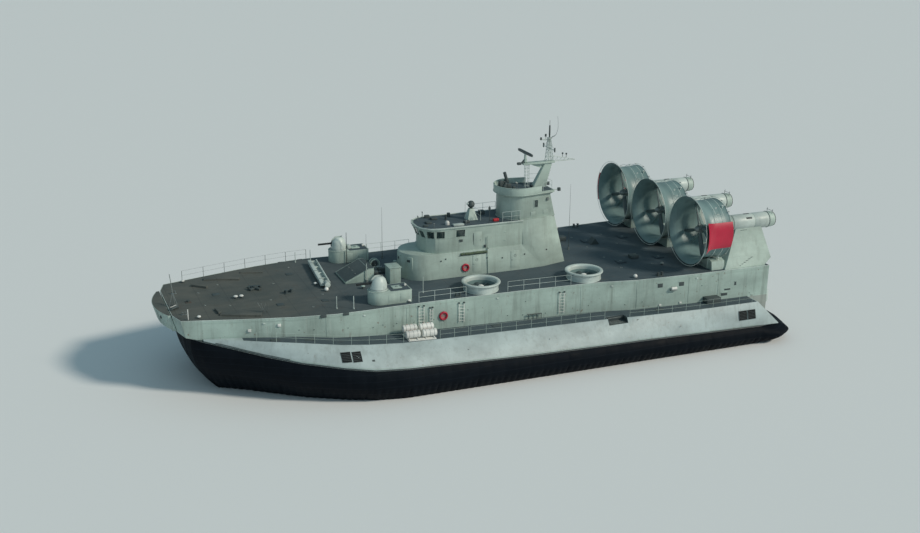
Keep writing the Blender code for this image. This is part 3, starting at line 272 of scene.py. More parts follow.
def metal(name, colour, rough=0.42, metallic=0.0, wear=0.4, worn=(0.35, 0.36, 0.35)):
    """Painted or bare machined metal with rubbed patches and a brushed grain."""
    s = Surface(name)
    patch = s.noise((1, 1, 1), 7.0, 6, 0.65)
    tone = s.mix(s.between(patch, 0.3, 0.7), tuple(c * 0.8 for c in colour), tuple(min(1, c * 1.15) for c in colour))
    rub = s.between(s.noise((1, 1, 1), 26.0, 5, 0.7), 0.60, 0.72)
    tone = s.mix(s.maths("MULTIPLY", rub, wear), tone, worn)
    s.set(tone, s.between(patch, 0.3, 0.7, rough - 0.08, rough + 0.10), metallic)
    s.bump((patch, 0.15, 0.004), (s.noise((1, 1, 1), 120.0, 2, 0.6), 0.08, 0.001))
    return s.material


def glazing(name):
    """Dark tinted glass with a faint film of dried spray."""
    s = Surface(name)
    film = s.noise((1, 1, 1), 11.0, 5, 0.6)
    tone = s.mix(s.between(film, 0.4, 0.8), (0.012, 0.030, 0.030), (0.045, 0.066, 0.064))
    s.set(tone, s.between(film, 0.4, 0.8, 0.05, 0.16))
    s.shader.inputs["Specular IOR Level"].default_value = 0.7
    s.shader.inputs["Coat Weight"].default_value = 0.35
    s.bump((film, 0.05, 0.002))
    return s.material


HULL = ship_paint("hull_paint", (0.375, 0.482, 0.440), 0.52, ((0, 1.21, 0.1), (2, 0.62, 0.05)), 0.6, 0.55, 0.60)
APRON = ship_paint("apron_paint", (0.395, 0.475, 0.480), 0.48, ((0, 2.42, 0.4),), 0.45, 0.25, 0.40)
HOUSE = ship_paint("house_paint", (0.420, 0.520, 0.470), 0.50, ((0, 1.45, 0.3), (2, 0.62, 0.0)), 0.32, 0.16, 0.34)
DUCT = ship_paint("duct_paint", (0.700, 0.765, 0.720), 0.42, None, 0.26, 0.06, 0.24)
# The ducts' paint darkened into painted shade, laid inside the duct bowls and the drum barrels.
DUCT_BOWL_SHADE = ship_paint("duct_bowl_painted_shade", (0.170, 0.262, 0.262), 0.40, None, 0.30, 0.04, 0.25)
PALE = ship_paint("pale_paint", (0.550, 0.630, 0.600), 0.42, None, 0.25, 0.12, 0.25)
WHITE = ship_paint("white_paint", (0.780, 0.785, 0.750), 0.40, None, 0.20, 0.10, 0.20)
DARK = ship_paint("dark_paint", (0.055, 0.075, 0.078), 0.55, None, 0.30, 0.15, 0.25)
PINK = ship_paint("ring_centre_paint", (0.560, 0.235, 0.225), 0.50, None, 0.16, 0.0, 0.10)
RED = ship_paint("red_paint", (0.480, 0.006, 0.040), 0.38, None, 0.16, 0.0, 0.10)
ORANGE = ship_paint("ring_red_paint", (0.560, 0.030, 0.040), 0.45, None, 0.16, 0.0, 0.10)
OLIVE = ship_paint("canvas_green", (0.070, 0.105, 0.060), 0.75, None, 0.45, 0.05, 0.2)
RUSTY = ship_paint("rusted_plate", (0.075, 0.062, 0.054), 0.75, None, 0.6, 0.9, 0.4)
HALL = ship_paint("hall_paint", (0.300, 0.330, 0.310), 0.60, ((0, 1.21, 0.1),), 0.5, 0.4, 0.4)
DECK = deck_paint("deck_paint")
# The walkways' dark slate: partly their own dark paint, partly painted shade.
WALKWAY_PAINT_AND_SHADE = deck_paint("walkway_paint_and_shade", 0.0)
SKIRT = rubber("skirt_rubber", (0.0035, 0.0055, 0.0085), 0.55)
SEAL = rubber("seal_rubber", (0.010, 0.011, 0.012), 0.55, 5.0)
BLADE = metal("blade_metal", (0.085, 0.115, 0.120), 0.36, 0.2, 0.25)
STEEL = metal("steel_grey", (0.250, 0.280, 0.275), 0.40, 0.5)
GUNMETAL = metal("gun_metal", (0.040, 0.045, 0.048), 0.34, 0.8, 0.35, (0.22, 0.22, 0.22))
GLASS = glazing("tinted_glass")
SOOT = metal("exhaust_soot", (0.030, 0.028, 0.026), 0.70, 0.0, 0.15, (0.10, 0.09, 0.08))


# Shapes


AXES = {"X": Matrix.Rotation(math.pi / 2, 4, "Y"), "Y": Matrix.Rotation(-math.pi / 2, 4, "X"), "Z": Matrix()}


def smooth_line(points, steps=4):
    """A Catmull-Rom line through points of any dimension."""
    points = [tuple(p) for p in points]
    found = []
    for i in range(len(points) - 1):
        p = [points[max(i - 1, 0)], points[i], points[i + 1], points[min(i + 2, len(points) - 1)]]
        for k in range(steps):
            t = k / steps
            found.append(
                tuple(
                    0.5 * (2 * b + (c - a) * t + (2 * a - 5 * b + 4 * c - d) * t * t + (3 * b - a - 3 * c + d) * t**3)
                    for a, b, c, d in zip(*p)
                )
            )
    return found + [points[-1]]


def walls(shape, rings, looped=False, around=True):
    """Faces between rings of points in a bmesh; looped joins the last ring to the first, around closes each ring."""
    rows = [[shape.verts.new(point) for point in ring] for ring in rings]
    count = len(rows[0])
    for first, second in zip(rows, rows[1:] + rows[:1] if looped else rows[1:]):
        for i in range(count if around else count - 1):
            j = (i + 1) % count
            shape.faces.new((first[i], first[j], second[j], second[i]))
    return rows


class Shape:
    """Closed forms gathered into one piece, each with the material slot in use when it was added."""

    def __init__(self, *materials):
        self.mesh = bmesh.new()
        self.materials = materials
        self.slot = 0

    def use(self, slot):
        self.slot = slot
        return self

    def take(self, shape, matrix=None):
        """Adds a bmesh, and frees it."""
        if matrix is not None:
            bmesh.ops.transform(shape, matrix=matrix, verts=shape.verts)
        bmesh.ops.recalc_face_normals(shape, faces=shape.faces)
        for face in shape.faces:
            face.material_index = self.slot
        holder = bpy.data.meshes.new("holder")
        shape.to_mesh(holder)
        shape.free()
        self.mesh.from_mesh(holder)
        bpy.data.meshes.remove(holder)
        return self

    def skin(self, rings, looped=False, matrix=None):
        """A closed form through rings of points, capped at both ends unless it is looped."""
        shape = bmesh.new()
        rows = walls(shape, rings, looped)
        if not looped:
            shape.faces.new(rows[0])
            shape.faces.new(rows[-1])
        bmesh.ops.remove_doubles(shape, verts=shape.verts, dist=1e-6)
        return self.take(shape, matrix)

    def block(self, low, high, soft=0.0, matrix=None):
        """A box between two corners, with softened edges."""
        low, high = Vector(low), Vector(high)
        size = high - low
        shape = bmesh.new()
        bmesh.ops.create_cube(shape, size=1, matrix=Matrix.Translation((low + high) / 2) @ Matrix.Diagonal((*size, 1)))
        if soft:
            width = min(soft, 0.35 * min(size))
            bmesh.ops.bevel(shape, geom=list(shape.edges), offset=width, segments=2, affect="EDGES", profile=0.5)
        return self.take(shape, matrix)

    def slab(self, outline, low, high, soft=0.0):
        """An upright solid over a plan outline."""
        shape = bmesh.new()
        rows = walls(shape, [[(x, y, z) for x, y in outline] for z in (low, high)])
        shape.faces.new(rows[0])
        top = shape.faces.new(rows[1])
        if soft:
            bmesh.ops.bevel(shape, geom=list(top.edges), offset=soft, segments=2, affect="EDGES", profile=0.5)
        return self.take(shape)

    def turned(self, profile, centre, axis="Z", steps=48, ring=False, matrix=None):
        """A profile of (radius, height) turned round an axis."""
        shape = bmesh.new()
        walls(shape, [[(r * c, r * s, h) for r, h in profile] for c, s in circle(steps)], True, ring)
        bmesh.ops.remove_doubles(shape, verts=shape.verts, dist=1e-6)
        place = Matrix.Translation(centre) @ AXES[axis]
        return self.take(shape, place if matrix is None else matrix @ place)

    def tube(self, points, radius, sides=6, tip=None, closed=False):
        """A round bar along a line of points."""
        points = [Vector(p) for p in points]
        last = len(points) - 1
        rings = []
        side = None
        for i, point in enumerate(points):
            if closed:
                along = points[(i + 1) % len(points)] - points[i - 1]
            else:
                along = points[min(i + 1, last)] - points[max(i - 1, 0)]
            along.normalize()
            if side is None:
                side = along.orthogonal().normalized()
            side = (side - along * side.dot(along)).normalized()
            other = along.cross(side)
            here = radius if tip is None else radius + (tip - radius) * i / max(last, 1)
            rings.append([point + (side * c + other * s) * here for c, s in circle(sides)])
        return self.skin(rings, looped=closed)

    def rod(self, start, end, radius, sides=10, tip=None):
        return self.tube([start, end], radius, sides, tip)

    def posts(self, rows, base=DECK_TOP, sink=SINK):
        """Upright rods of (x, y, height, radius, sides) on a level surface."""
        for x, y, height, radius, sides in rows:
            self.rod((x, y, base - sink), (x, y, base + height), radius, sides)
        return self

    def crates(self, rows, base=DECK_TOP):
        """Boxes of (low x, high x, low y, high y, height, softening) on a level surface."""
        for x1, x2, y1, y2, height, soft in rows:
            self.block((x1, y1, base - SINK), (x2, y2, base + height), soft)
        return self

    def plate(self, place, half, thick, tall, soft, sunk):
        """A plate on a wall: half its width, how far it stands out, half its height, and how deep it is let in."""
        return self.block((-half, -sunk, -tall), (half, thick, tall), soft, place)

    def ball(self, centre, radius, flat=1.0, steps=14):
        shape = bmesh.new()
        bmesh.ops.create_uvsphere(shape, u_segments=2 * steps, v_segments=steps, radius=radius)
        return self.take(shape, Matrix.Translation(centre) @ Matrix.Diagonal((1, 1, flat, 1)))

    def hoop(self, centre, radius, thick, axis="Z", steps=32, sides=8):
        place = Matrix.Translation(centre) @ AXES[axis]
        points = [place @ Vector((radius * c, radius * s, 0)) for c, s in circle(steps)]
        return self.tube(points, thick, sides, closed=True)

    def eyes(self, places, z, radius=0.045, thick=0.010, steps=16):
        """Level rings at one height."""
        for x, y in places:
            self.hoop((x, y, z), radius, thick, "Z", steps, 6)
        return self

    def rail(self, feet, height, bars, thick=0.011, post=0.013, every=0.7):
        """Stanchions along a line of feet, with bars at shares of the height."""
        feet = [Vector(p) for p in feet]
        up = Vector((0, 0, height))
        for share in bars:
            self.tube([foot + up * share for foot in feet], thick)
        for first, second in zip(feet, feet[1:]):
            count = max(1, round((second - first).length / every))
            for i in range(count):
                foot = first.lerp(second, i / count)
                self.rod(foot, foot + up, post, 6)
        self.rod(feet[-1], feet[-1] + up, post, 6)
        return self

    def mirror(self):
        """A copy of everything so far, on the other side."""
        holder = bpy.data.meshes.new("holder")
        self.mesh.to_mesh(holder)
        holder.transform(Matrix.Diagonal((1, -1, 1, 1)))
        holder.flip_normals()
        self.mesh.from_mesh(holder)
        bpy.data.meshes.remove(holder)
        return self

    def done(self, name, body="hull", node=None, angle=32):
        mesh = bpy.data.meshes.new(name)
        self.mesh.to_mesh(mesh)
        self.mesh.free()
        mesh.shade_smooth()
        mesh.set_sharp_from_angle(angle=math.radians(angle))
        for material in self.materials:
            mesh.materials.append(material)
        made = linked(name, mesh)
        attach(made, body)
        if node:
            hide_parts(node)
        return made


# Solids that stay, with their finish


def smoothing():
    """A node group that shades a mesh smooth between its sharp edges."""
    group = bpy.data.node_groups.new("smooth_by_angle", "GeometryNodeTree")
    group.interface.new_socket("Geometry", in_out="INPUT", socket_type="NodeSocketGeometry")
    group.interface.new_socket("Geometry", in_out="OUTPUT", socket_type="NodeSocketGeometry")
    group.is_modifier = True
    nodes, links = group.nodes, group.links
    enter, leave = nodes.new("NodeGroupInput"), nodes.new("NodeGroupOutput")
    angle = nodes.new("GeometryNodeInputMeshEdgeAngle")
    gentle = nodes.new("FunctionNodeCompare")
    gentle.operation = "LESS_THAN"
    gentle.inputs[1].default_value = math.radians(28)
    faces = nodes.new("GeometryNodeSetShadeSmooth")
    edges = nodes.new("GeometryNodeSetShadeSmooth")
    edges.domain = "EDGE"
    links.new(angle.outputs["Unsigned Angle"], gentle.inputs[0])
    links.new(enter.outputs[0], faces.inputs["Geometry"])
    links.new(faces.outputs[0], edges.inputs["Geometry"])
    links.new(gentle.outputs[0], edges.inputs["Shade Smooth"])
    links.new(edges.outputs[0], leave.inputs[0])
    return group


SMOOTHING = smoothing()


def finish(node, material, soft=0.0):
    """A solid that stays gets its paint, welded corners and softened edges."""
    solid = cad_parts[node]
    solid.data.materials.clear()
    solid.data.materials.append(material)
    weld = solid.modifiers.new("weld", "WELD")
    weld.merge_threshold = 0.00002
    if soft:
        bevel = solid.modifiers.new("soft_edges", "BEVEL")
        bevel.width = soft
        bevel.segments = 2
        bevel.limit_method = "ANGLE"
        bevel.angle_limit = math.radians(40)
    solid.modifiers.new("smooth", "NODES").node_group = SMOOTHING


KEPT = {
    "pontoon": (HALL, 0),
    "bow_block": (HULL, 0),
    "side_hull_port": (HULL, 0),
    "side_hull_starboard": (HULL, 0),
    "main_deck": (DECK, 0),
    "sponson_port": (APRON, 0.012),
    "sponson_starboard": (APRON, 0.012),
    "bow_ramp": (HULL, 0.010),
    "stern_ramp": (HULL, 0.010),
    "deckhouse": (HOUSE, 0.012),
    "bridge_walls": (HOUSE, 0.004),
    "bridge_roof": (HOUSE, 0.008),
    "tower": (HOUSE, 0.008),
    "gun_house_port": (HOUSE, 0.010),
    "gun_house_starboard": (HOUSE, 0.010),
    "turret_port": (PALE, 0.006),
    "turret_starboard": (PALE, 0.006),
    "vent_house": (HULL, 0.008),
    "stowed_gangway": (PALE, 0.006),
    "raft_rack_port": (WHITE, 0.006),
    "raft_rack_starboard": (WHITE, 0.006),
    "locker_house": (HULL, 0.010),
    "pylon_port": (HOUSE, 0.008),
    "pylon_centre": (HOUSE, 0.008),
    "pylon_starboard": (HOUSE, 0.008),
}
for place in DUCT_Y:
    for side in ("inner", "outer"):
        KEPT[f"rudder_{place}_{side}"] = (DUCT, 0.003)
for node_name, (finish_paint, edge) in KEPT.items():
    finish(node_name, finish_paint, edge)


# Skirt


SkirtRow = namedtuple("SkirtRow", "x y top hem bulge")
HEM_SIDE, HEM_BOW = -0.15, -1.25
BULGE_SIDE, BULGE_BOW, BULGE_STERN = 0.26, 0.10, 1.049
BOTTOM_Z = 1.067
PANEL = 0.62
FINGER = 0.31


def skirt_rows():
    stern = STATIONS[0]
    low = stern.knuckle_z
    rows = [
        SkirtRow(stern.x, 0, BOTTOM_Z, HEM_SIDE, BULGE_STERN),
        SkirtRow(stern.x, 2.3, BOTTOM_Z, HEM_SIDE, BULGE_STERN),
        SkirtRow(stern.x, stern.wall - 0.45, BOTTOM_Z, HEM_SIDE, BULGE_STERN),
        SkirtRow(stern.x, stern.wall - 0.03, low, HEM_SIDE, BULGE_STERN),
        SkirtRow(stern.x + 0.08, 5.35, low, HEM_SIDE, BULGE_STERN * 0.9),
        SkirtRow(stern.x + 0.45, 5.75, low, HEM_SIDE, BULGE_STERN * 0.6),
    ]
    for s in STATIONS[1:]:
        share = max(0.0, (s.x - 5.0) / (STATIONS[-1].x - 5.0))
        hem = HEM_SIDE + (HEM_BOW - HEM_SIDE) * share
        rows.append(SkirtRow(s.x, s.knuckle, s.knuckle_z, hem, BULGE_SIDE + (BULGE_BOW - BULGE_SIDE) * share))
    for x, y in ((13.50, 2.38), (13.66, 1.60), (13.72, 0.80), (13.74, 0)):
        rows.append(SkirtRow(x, y, 2.69, HEM_BOW, BULGE_BOW))
    return rows


def row_normals(rows):
    found = []
    for i in range(len(rows)):
        before, after = rows[max(i - 1, 0)], rows[min(i + 1, len(rows) - 1)]
        along = Vector((after.x - before.x, after.y - before.y))
        if i in (0, len(rows) - 1):
            along = Vector((0, 1 if i == 0 else -1))
        along.normalize()
        found.append(Vector((-along.y, along.x)))
    return found


def skirt_section(row, normal, reach):
    """The bag at one place: stitched panels above, a row of fingers below, and the inner sheet."""
    top = row.top - 0.001
    steps = 30
    across = []
    for k in range(steps + 1):
        share = 1 - k / steps
        out = row.hem * (1 - share) ** 2 + row.bulge * 4 * share * (1 - share)
        swell = min(1.0, 6 * share * (1 - share))
        stitched = abs(math.sin(math.pi * reach / PANEL)) ** 0.35
        out += (stitched - 1) * 0.020 * swell
        low = max(0.0, min(1.0, (0.46 - share) / 0.10))
        scallop = abs(math.sin(math.pi * reach / FINGER)) ** 0.55
        out += (scallop - 1) * 0.055 * low
        fold = noise.noise(Vector((reach * 2.3, share * 1.6, row.y * 0.2)))
        fine = noise.noise(Vector((reach * 7.0, share * 5.0, 3.7)))
        out += swell * (0.016 * fold + 0.005 * fine)
        across.append((out, top * share))
    deep = min(row.hem, -0.3)
    across += [
        (row.hem - 0.25, 0),
        (row.hem - 0.33, top * 0.35),
        (deep * 0.5 - 0.3, top * 0.7),
        (-0.34, top - 0.15),
    ]
    return [(row.x + normal.x * out, row.y + normal.y * out, z) for out, z in across]


def skirt_half():
    """Fine sections of the port half, with the index of each table row among them."""
    rows = skirt_rows()
    normals = row_normals(rows)
    rings, marks, reach = [], [], 0.0
    for i in range(len(rows) - 1):
        a, b = rows[i], rows[i + 1]
        length = math.hypot(b.x - a.x, b.y - a.y)
        count = max(2, round(length / 0.058))
        marks.append(len(rings))
        for k in range(count):
            t = k / count
            row = SkirtRow(*[p + (q - p) * t for p, q in zip(a, b)])
            normal = normals[i].lerp(normals[i + 1], t).normalized()
            rings.append(skirt_section(row, normal, reach + length * t))
        reach += length
    marks.append(len(rings))
    rings.append(skirt_section(rows[-1], normals[-1], reach))
    return rings, marks


def mirrored(points):
    """The same points on the other side."""
    return [(x, -y, z) for x, y, z in points]


def build_skirts():
    rings, marks = skirt_half()
    stern_end, bow_start = marks[2], marks[-7]
    half = rings[: stern_end + 1]
    stern = [mirrored(ring) for ring in reversed(half)] + half[1:]
    Shape(SKIRT).skin(stern).done("stern_skirt_bag", node="skirt_stern", angle=50)
    half = rings[bow_start:]
    bow = half + [mirrored(ring) for ring in reversed(half[:-1])]
    Shape(SKIRT).skin(bow).done("bow_skirt_bag", node="skirt_bow", angle=50)
    middle = rings[stern_end : bow_start + 1]
    Shape(SKIRT).skin(middle).done("port_skirt_bag", node="skirt_port", angle=50)
    starboard = [mirrored(ring) for ring in middle]
    Shape(SKIRT).skin(starboard).done("starboard_skirt_bag", node="skirt_starboard", angle=50)


def build_clamp_bar():
    """The bolted bar that holds the skirt under the knuckle."""
    rows = skirt_rows()
    normals = row_normals(rows)
    shape = Shape(DARK, STEEL)
    line = [(r.x + n.x * 0.012, r.y + n.y * 0.012, r.top - 0.02) for r, n in zip(rows, normals)]
    both = mirrored(line[::-1]) + line[1:-1]
    shape.tube(both, 0.022, 6, closed=True)
    shape.use(1)
    for a, b, n in zip(line, line[1:], normals):
        a, b = Vector(a), Vector(b)
        count = max(1, round((b - a).length / 0.24))
        for k in range(count):
            p = a.lerp(b, (k + 0.5) / count)
            out = Vector((n.x, n.y, 0)) * 0.03
            for y in (1, -1):
                q, o = Vector((p.x, p.y * y, p.z)), Vector((out.x, out.y * y, 0))
                shape.rod(q, q + o, 0.012, 6)
    shape.done("skirt_clamp_bar")


def build_keel_bag():
    """The flexible wall that divides the cushion, sewn from panels."""
    shape = Shape(SKIRT)
    for axis, low, high, top, base in ((0, -12.58, 9.18, 1.064, 0.02), (1, -4.58, 4.58, 1.054, 0.032)):
        count = round((high - low) / 0.08)
        rings = []
        for i in range(count + 1):
            along = low + (high - low) * i / count
            pinch = 0.016 * (abs(math.sin(math.pi * along / PANEL)) ** 0.4 - 1)
            ring = []
            for share, width in ((0, 0.100), (0.12, 0.112), (0.5, 0.118), (0.85, 0.112), (1, 0.105)):
                ring.append((width + pinch, base + (top - base) * share))
            ring += [(-w, z) for w, z in reversed(ring)]
            if axis == 0:
                rings.append([(along, w, z) for w, z in ring])
            else:
                rings.append([(-0.98 + w, along, z) for w, z in ring])
        shape.skin(rings)
    shape.done("cushion_keel_bag", node="cushion_keel", angle=50)


build_skirts()
build_clamp_bar()
build_keel_bag()


# Places on the hull's skin


def wall_place(x, z):
    """Local axes on the port wall: X forward along it, Y out of it, Z up."""
    near, far = at_station(x - 0.05, "wall"), at_station(x + 0.05, "wall")
    along = Vector((0.1, far - near, 0)).normalized()
    return framed(along, Vector((-along.y, along.x, 0)), Vector((0, 0, 1)), (x, at_station(x, "wall"), z))


def apron_point(x, z, out=0.0):
    """A point on the port apron's slope at a height, moved out along the slope's normal."""
    low = at_station(x, "knuckle_z") + 0.03
    high = at_station(x, "walk_z")
    wide, narrow = at_station(x, "knuckle"), at_station(x, "apron")
    share = (z - low) / (high - low)
    slope = Vector((0, high - low, wide - narrow)).normalized()
    return Vector((x, wide + (narrow - wide) * share, z)) + slope * out


# Lift drums and fans


def build_lift_drum(name, x, y):
    """The flared barrel, a dark sheet of painted shade down its inside, the bolts of its rim and the spider under the
    fan.
    """
    shape = Shape(PALE, STEEL, DARK, DUCT_BOWL_SHADE)
    inside = [(0.690, 2.047), (0.690, 3.800), (0.696, 3.850), (0.712, 3.892), (0.745, 3.918), (0.790, 3.929)]
    rim = [(0.835, 3.929), (0.868, 3.920), (0.882, 3.900), (0.884, 3.878), (0.876, 3.855), (0.858, 3.838)]
    outside = [(0.825, 3.815), (0.802, 3.785), (0.790, 3.745), (0.790, 3.5168), (0.740, 3.5168), (0.740, 2.047)]
    shape.turned(inside + rim + outside, (x, y, 0), steps=96, ring=True)
    shape.hoop((x, y, 3.527), 0.790, 0.011, steps=72)
    # A dark sheet inside the barrel below the rim: painted shade.
    shade_sheet = [(0.6865, 2.05), (0.6865, 3.715), (0.6885, 3.722), (0.700, 3.722), (0.700, 2.05)]
    shape.use(3).turned(shade_sheet, (x, y, 0), steps=88, ring=True)
    shape.use(1)
    for i in range(36):
        turn = turned_to((x, y, 0), TAU * i / 36)
        shape.block((0.812, -0.008, 3.925), (0.828, 0.008, 3.936), 0.002, turn)
    seat = FAN_Z - 0.15 - 0.0008
    hub = [(0, seat), (0.150, seat), (0.150, seat - 0.17), (0.10, seat - 0.2), (0, seat - 0.2)]
    shape.turned(hub, (x, y, 0), steps=32)
    for i in range(9):
        turn = turned_to((x, y, 0), TAU * i / 9)
        shape.block((0.13, -0.013, seat - 0.16), (0.695, 0.013, seat - 0.05), 0.004, turn)
    shape.use(2)
    shape.hoop((x, y, seat - 0.08), 0.680, 0.010, steps=60)
    shape.done(f"drum_{name}", node=f"lift_drum_{name}")


def foil_ring(chord, thick, reach, pitch, shift=0.0, camber=0.06):
    """One rounded foil section of a blade that runs along +Y, its disc square to Z."""
    ring = []
    c, s = math.cos(pitch), math.sin(pitch)
    for u, v in circle(14):
        along = 0.5 * chord * u
        half = thick * 0.5 * v * (0.45 + 0.55 * (0.5 - 0.5 * u)) * 1.35
        up = half + camber * chord * (1 - u * u)
        ring.append(((along + shift) * c - up * s, reach, (along + shift) * s + up * c))
    return ring


def blade_rings(root, tip, chords, pitches, thick, steps=10, sweep=0.0, round_tip=0.3):
    """Sections of a twisted blade with a rounded tip; chords and pitches are at the root, middle and tip."""
    rings = []
    for i in range(steps + 1):
        share = i / steps
        chord, pitch = (
            at_root * (1 - share) ** 2 + 2 * middle * share * (1 - share) + at_tip * share**2
            for at_root, middle, at_tip in (chords, pitches)
        )
        if share > 1 - round_tip:
            chord *= math.sqrt(max(0.06, 1 - ((share - 1 + round_tip) / round_tip) ** 2))
        reach = root + (tip - root) * share
        rings.append(foil_ring(chord, thick * (1 - 0.72 * share), reach, math.radians(pitch), sweep * share**2))
    return rings


def build_lift_fan(name, x, y):
    shape = Shape(BLADE, WHITE, STEEL)
    centre = Matrix.Translation((x, y, FAN_Z))
    rings = blade_rings(0.11, 0.676, (0.15, 0.20, 0.20), (42, 30, 23), 0.030, 8, 0.03, 0.12)
    for i in range(8):
        shape.skin(rings, matrix=centre @ Matrix.Rotation(TAU * i / 8, 4, "Z"))
    shape.turned([(0.150, 0.02), (0.150, -0.150), (0, -0.150), (0, 0.02)], (x, y, FAN_Z), steps=36, ring=True)
    cap = [(0.148, 0.018), (0.142, 0.056), (0.120, 0.092), (0.080, 0.116), (0.036, 0.126), (0, 0.128), (0, 0.018)]
    shape.use(1).turned(cap, (x, y, FAN_Z), steps=36, ring=True)
    shape.use(2)
    for i in range(8):
        turn = centre @ Matrix.Rotation(TAU * (i + 0.5) / 8, 4, "Z")
        shape.rod(turn @ Vector((0.145, 0, -0.03)), turn @ Vector((0.156, 0, -0.03)), 0.012, 8)
    shape.done(f"fan_{name}", f"lift_fan_{name}", f"lift_fan_{name}")


# Ducts, propellers and pylons

DUCT_OUTSIDE = [
    (1.702, 0.0), (1.738, -0.008), (1.764, -0.026), (1.775, -0.052), (1.772, -0.082), (1.752, -0.115), (1.712, -0.165),
    (1.640, -0.235), (1.578, -0.318), (1.528, -0.405), (1.495, -0.490), (1.473, -0.590), (1.460, -0.690),
    (1.455, -0.780), (1.455, -1.20), (1.455, -1.616),
]
DUCT_INSIDE = [
    (1.415, -1.620), (1.400, -1.540), (1.376, -1.420), (1.361, -1.320), (1.358, -1.20), (1.358, -0.56),
    (1.364, -0.50), (1.380, -0.43), (1.404, -0.36), (1.442, -0.27), (1.496, -0.185), (1.556, -0.110),
    (1.616, -0.052), (1.664, -0.016),
]
DUCT_OUTER = 1.455
RUDDER_X, RUDDER_Y = DUCT_FRONT - 1.38, 0.73
STRUT_X = DUCT_FRONT - 0.96
# Sections of a strut along its reach from the hub: reach, chord and thickness
STRUT_SECTIONS = ((0.16, 0.20, 0.075), (0.5, 0.165, 0.058), (1.0, 0.155, 0.052), (1.385, 0.17, 0.056))


def bored(obj, tools):
    """Cuts round bores from a finished piece, given as (start, end, radius)."""
    helpers = []
    for start, end, radius in tools:
        shape = Shape(obj.data.materials[0])
        shape.rod(start, end, radius, 24)
        mesh = bpy.data.meshes.new("bore")
        shape.mesh.to_mesh(mesh)
        shape.mesh.free()
        helper = linked("bore", mesh)
        helpers.append(helper)
        change = obj.modifiers.new("bore", "BOOLEAN")
        change.solver = "EXACT"
        change.object = helper
    bpy.context.view_layer.update()
    graph = bpy.context.evaluated_depsgraph_get()
    mesh = bpy.data.meshes.new_from_object(obj.evaluated_get(graph))
    obj.modifiers.clear()
    obj.data = mesh
    for helper in helpers:
        bpy.data.objects.remove(helper, do_unlink=True)


def build_duct(name, y, panel_side):
    """The shroud with a dark bowl of painted shade inside it, hub, struts, beads, rudder posts and red panel."""
    shape = Shape(DUCT, DUCT_BOWL_SHADE, RED, STEEL, WHITE)
    centre = (DUCT_FRONT, y, DUCT_Z)
    shape.turned(DUCT_OUTSIDE + DUCT_INSIDE, centre, "X", 96, True)
    # A thin dark sheet over the duct's inner wall: painted shade inside the bowl.
    face = [(r - 0.0035, d) for r, d in DUCT_INSIDE[1:-1]]
    back = [(r + 0.006, d) for r, d in reversed(DUCT_INSIDE[1:-1])]
    shape.use(1).turned(face + back, centre, "X", 96, True)
    at = Matrix.Translation(centre)
    hub_front, hub_aft = -0.8308, -1.07
    hub = [(0, hub_front), (0.200, hub_front), (0.200, hub_aft + 0.02), (0.18, hub_aft), (0, hub_aft)]
    shape.turned(hub, centre, "X", 36)
    rings = []
    for reach, chord, thick in STRUT_SECTIONS:
        rings.append([(0.5 * chord * u, thick * 0.5 * v * (0.7 + 0.3 * u), reach) for u, v in circle(14)])
    for i in range(4):
        turn = turned_to((STRUT_X, y, DUCT_Z), math.pi * (0.25 + 0.5 * i), "X")
        shape.skin(rings, matrix=turn)
        shape.block((-0.12, -0.055, 1.335), (0.12, 0.055, 1.375), 0.01, turn)
    shape.use(0)
    for depth in (-0.80, -1.20, -1.56):
        shape.hoop((DUCT_FRONT + depth, y, DUCT_Z), 1.457, 0.009, "X", 96, 6)
    shape.hoop((DUCT_FRONT - 0.012, y, DUCT_Z), 1.690, 0.010, "X", 96, 6)
    reach = math.sqrt(DUCT_OUTER**2 - RUDDER_Y**2)
    for offset in (-RUDDER_Y, RUDDER_Y):
        for up in (1, -1):
            foot = Vector((RUDDER_X, y + offset, DUCT_Z + up * (reach - 0.02)))
            shape.rod(foot, foot + Vector((0, 0, up * 0.055)), 0.050, 20)
    if panel_side:
        rings = []
        for k in range(25):
            angle = math.radians(-24.5 + 50.1 * k / 24)
            ring = []
            for sign, rows in ((1, range(12)), (-1, range(11, -1, -1))):
                for i in rows:
                    depth = -0.09 - 1.52 * i / 11
                    radius = radius_at(depth) + (0.0125 if sign > 0 else -0.004)
                    ring.append((depth, panel_side * radius * math.cos(angle), radius * math.sin(angle)))
            rings.append(ring)
        shape.use(2).skin(rings, matrix=at)
    shape.use(3)
    for angle in range(15, 360, 30):
        turn = at @ Matrix.Rotation(math.radians(angle), 4, "X")
        shape.block((-1.60, -0.03, 1.452), (-1.52, 0.03, 1.475), 0.006, turn)
    shape.use(4)
    for angle in (35, 325):
        turn = at @ Matrix.Rotation(math.radians(angle), 4, "X")
        shape.hoop(turn @ Vector((-0.95, 0, 1.485)), 0.035, 0.009, "Y", 16, 6)
    made = shape.done(f"shroud_{name}", node=f"duct_{name}", angle=35)
    depth = math.sqrt(1.4065**2 - RUDDER_Y**2) + 0.0012
    ends = [[(RUDDER_X, y + offset, DUCT_Z + up * depth) for up in (-1, 1)] for offset in (-RUDDER_Y, RUDDER_Y)]
    bored(made, [(start, end, 0.0192) for start, end in ends])


def radius_at(depth):
    """The duct's outer radius at a depth behind the lip."""
    rows = DUCT_OUTSIDE
    for (r1, d1), (r2, d2) in zip(rows, rows[1:]):
        if d2 <= depth <= d1:
            return r1 + (r2 - r1) * (depth - d1) / (d2 - d1)
    return rows[-1][0]


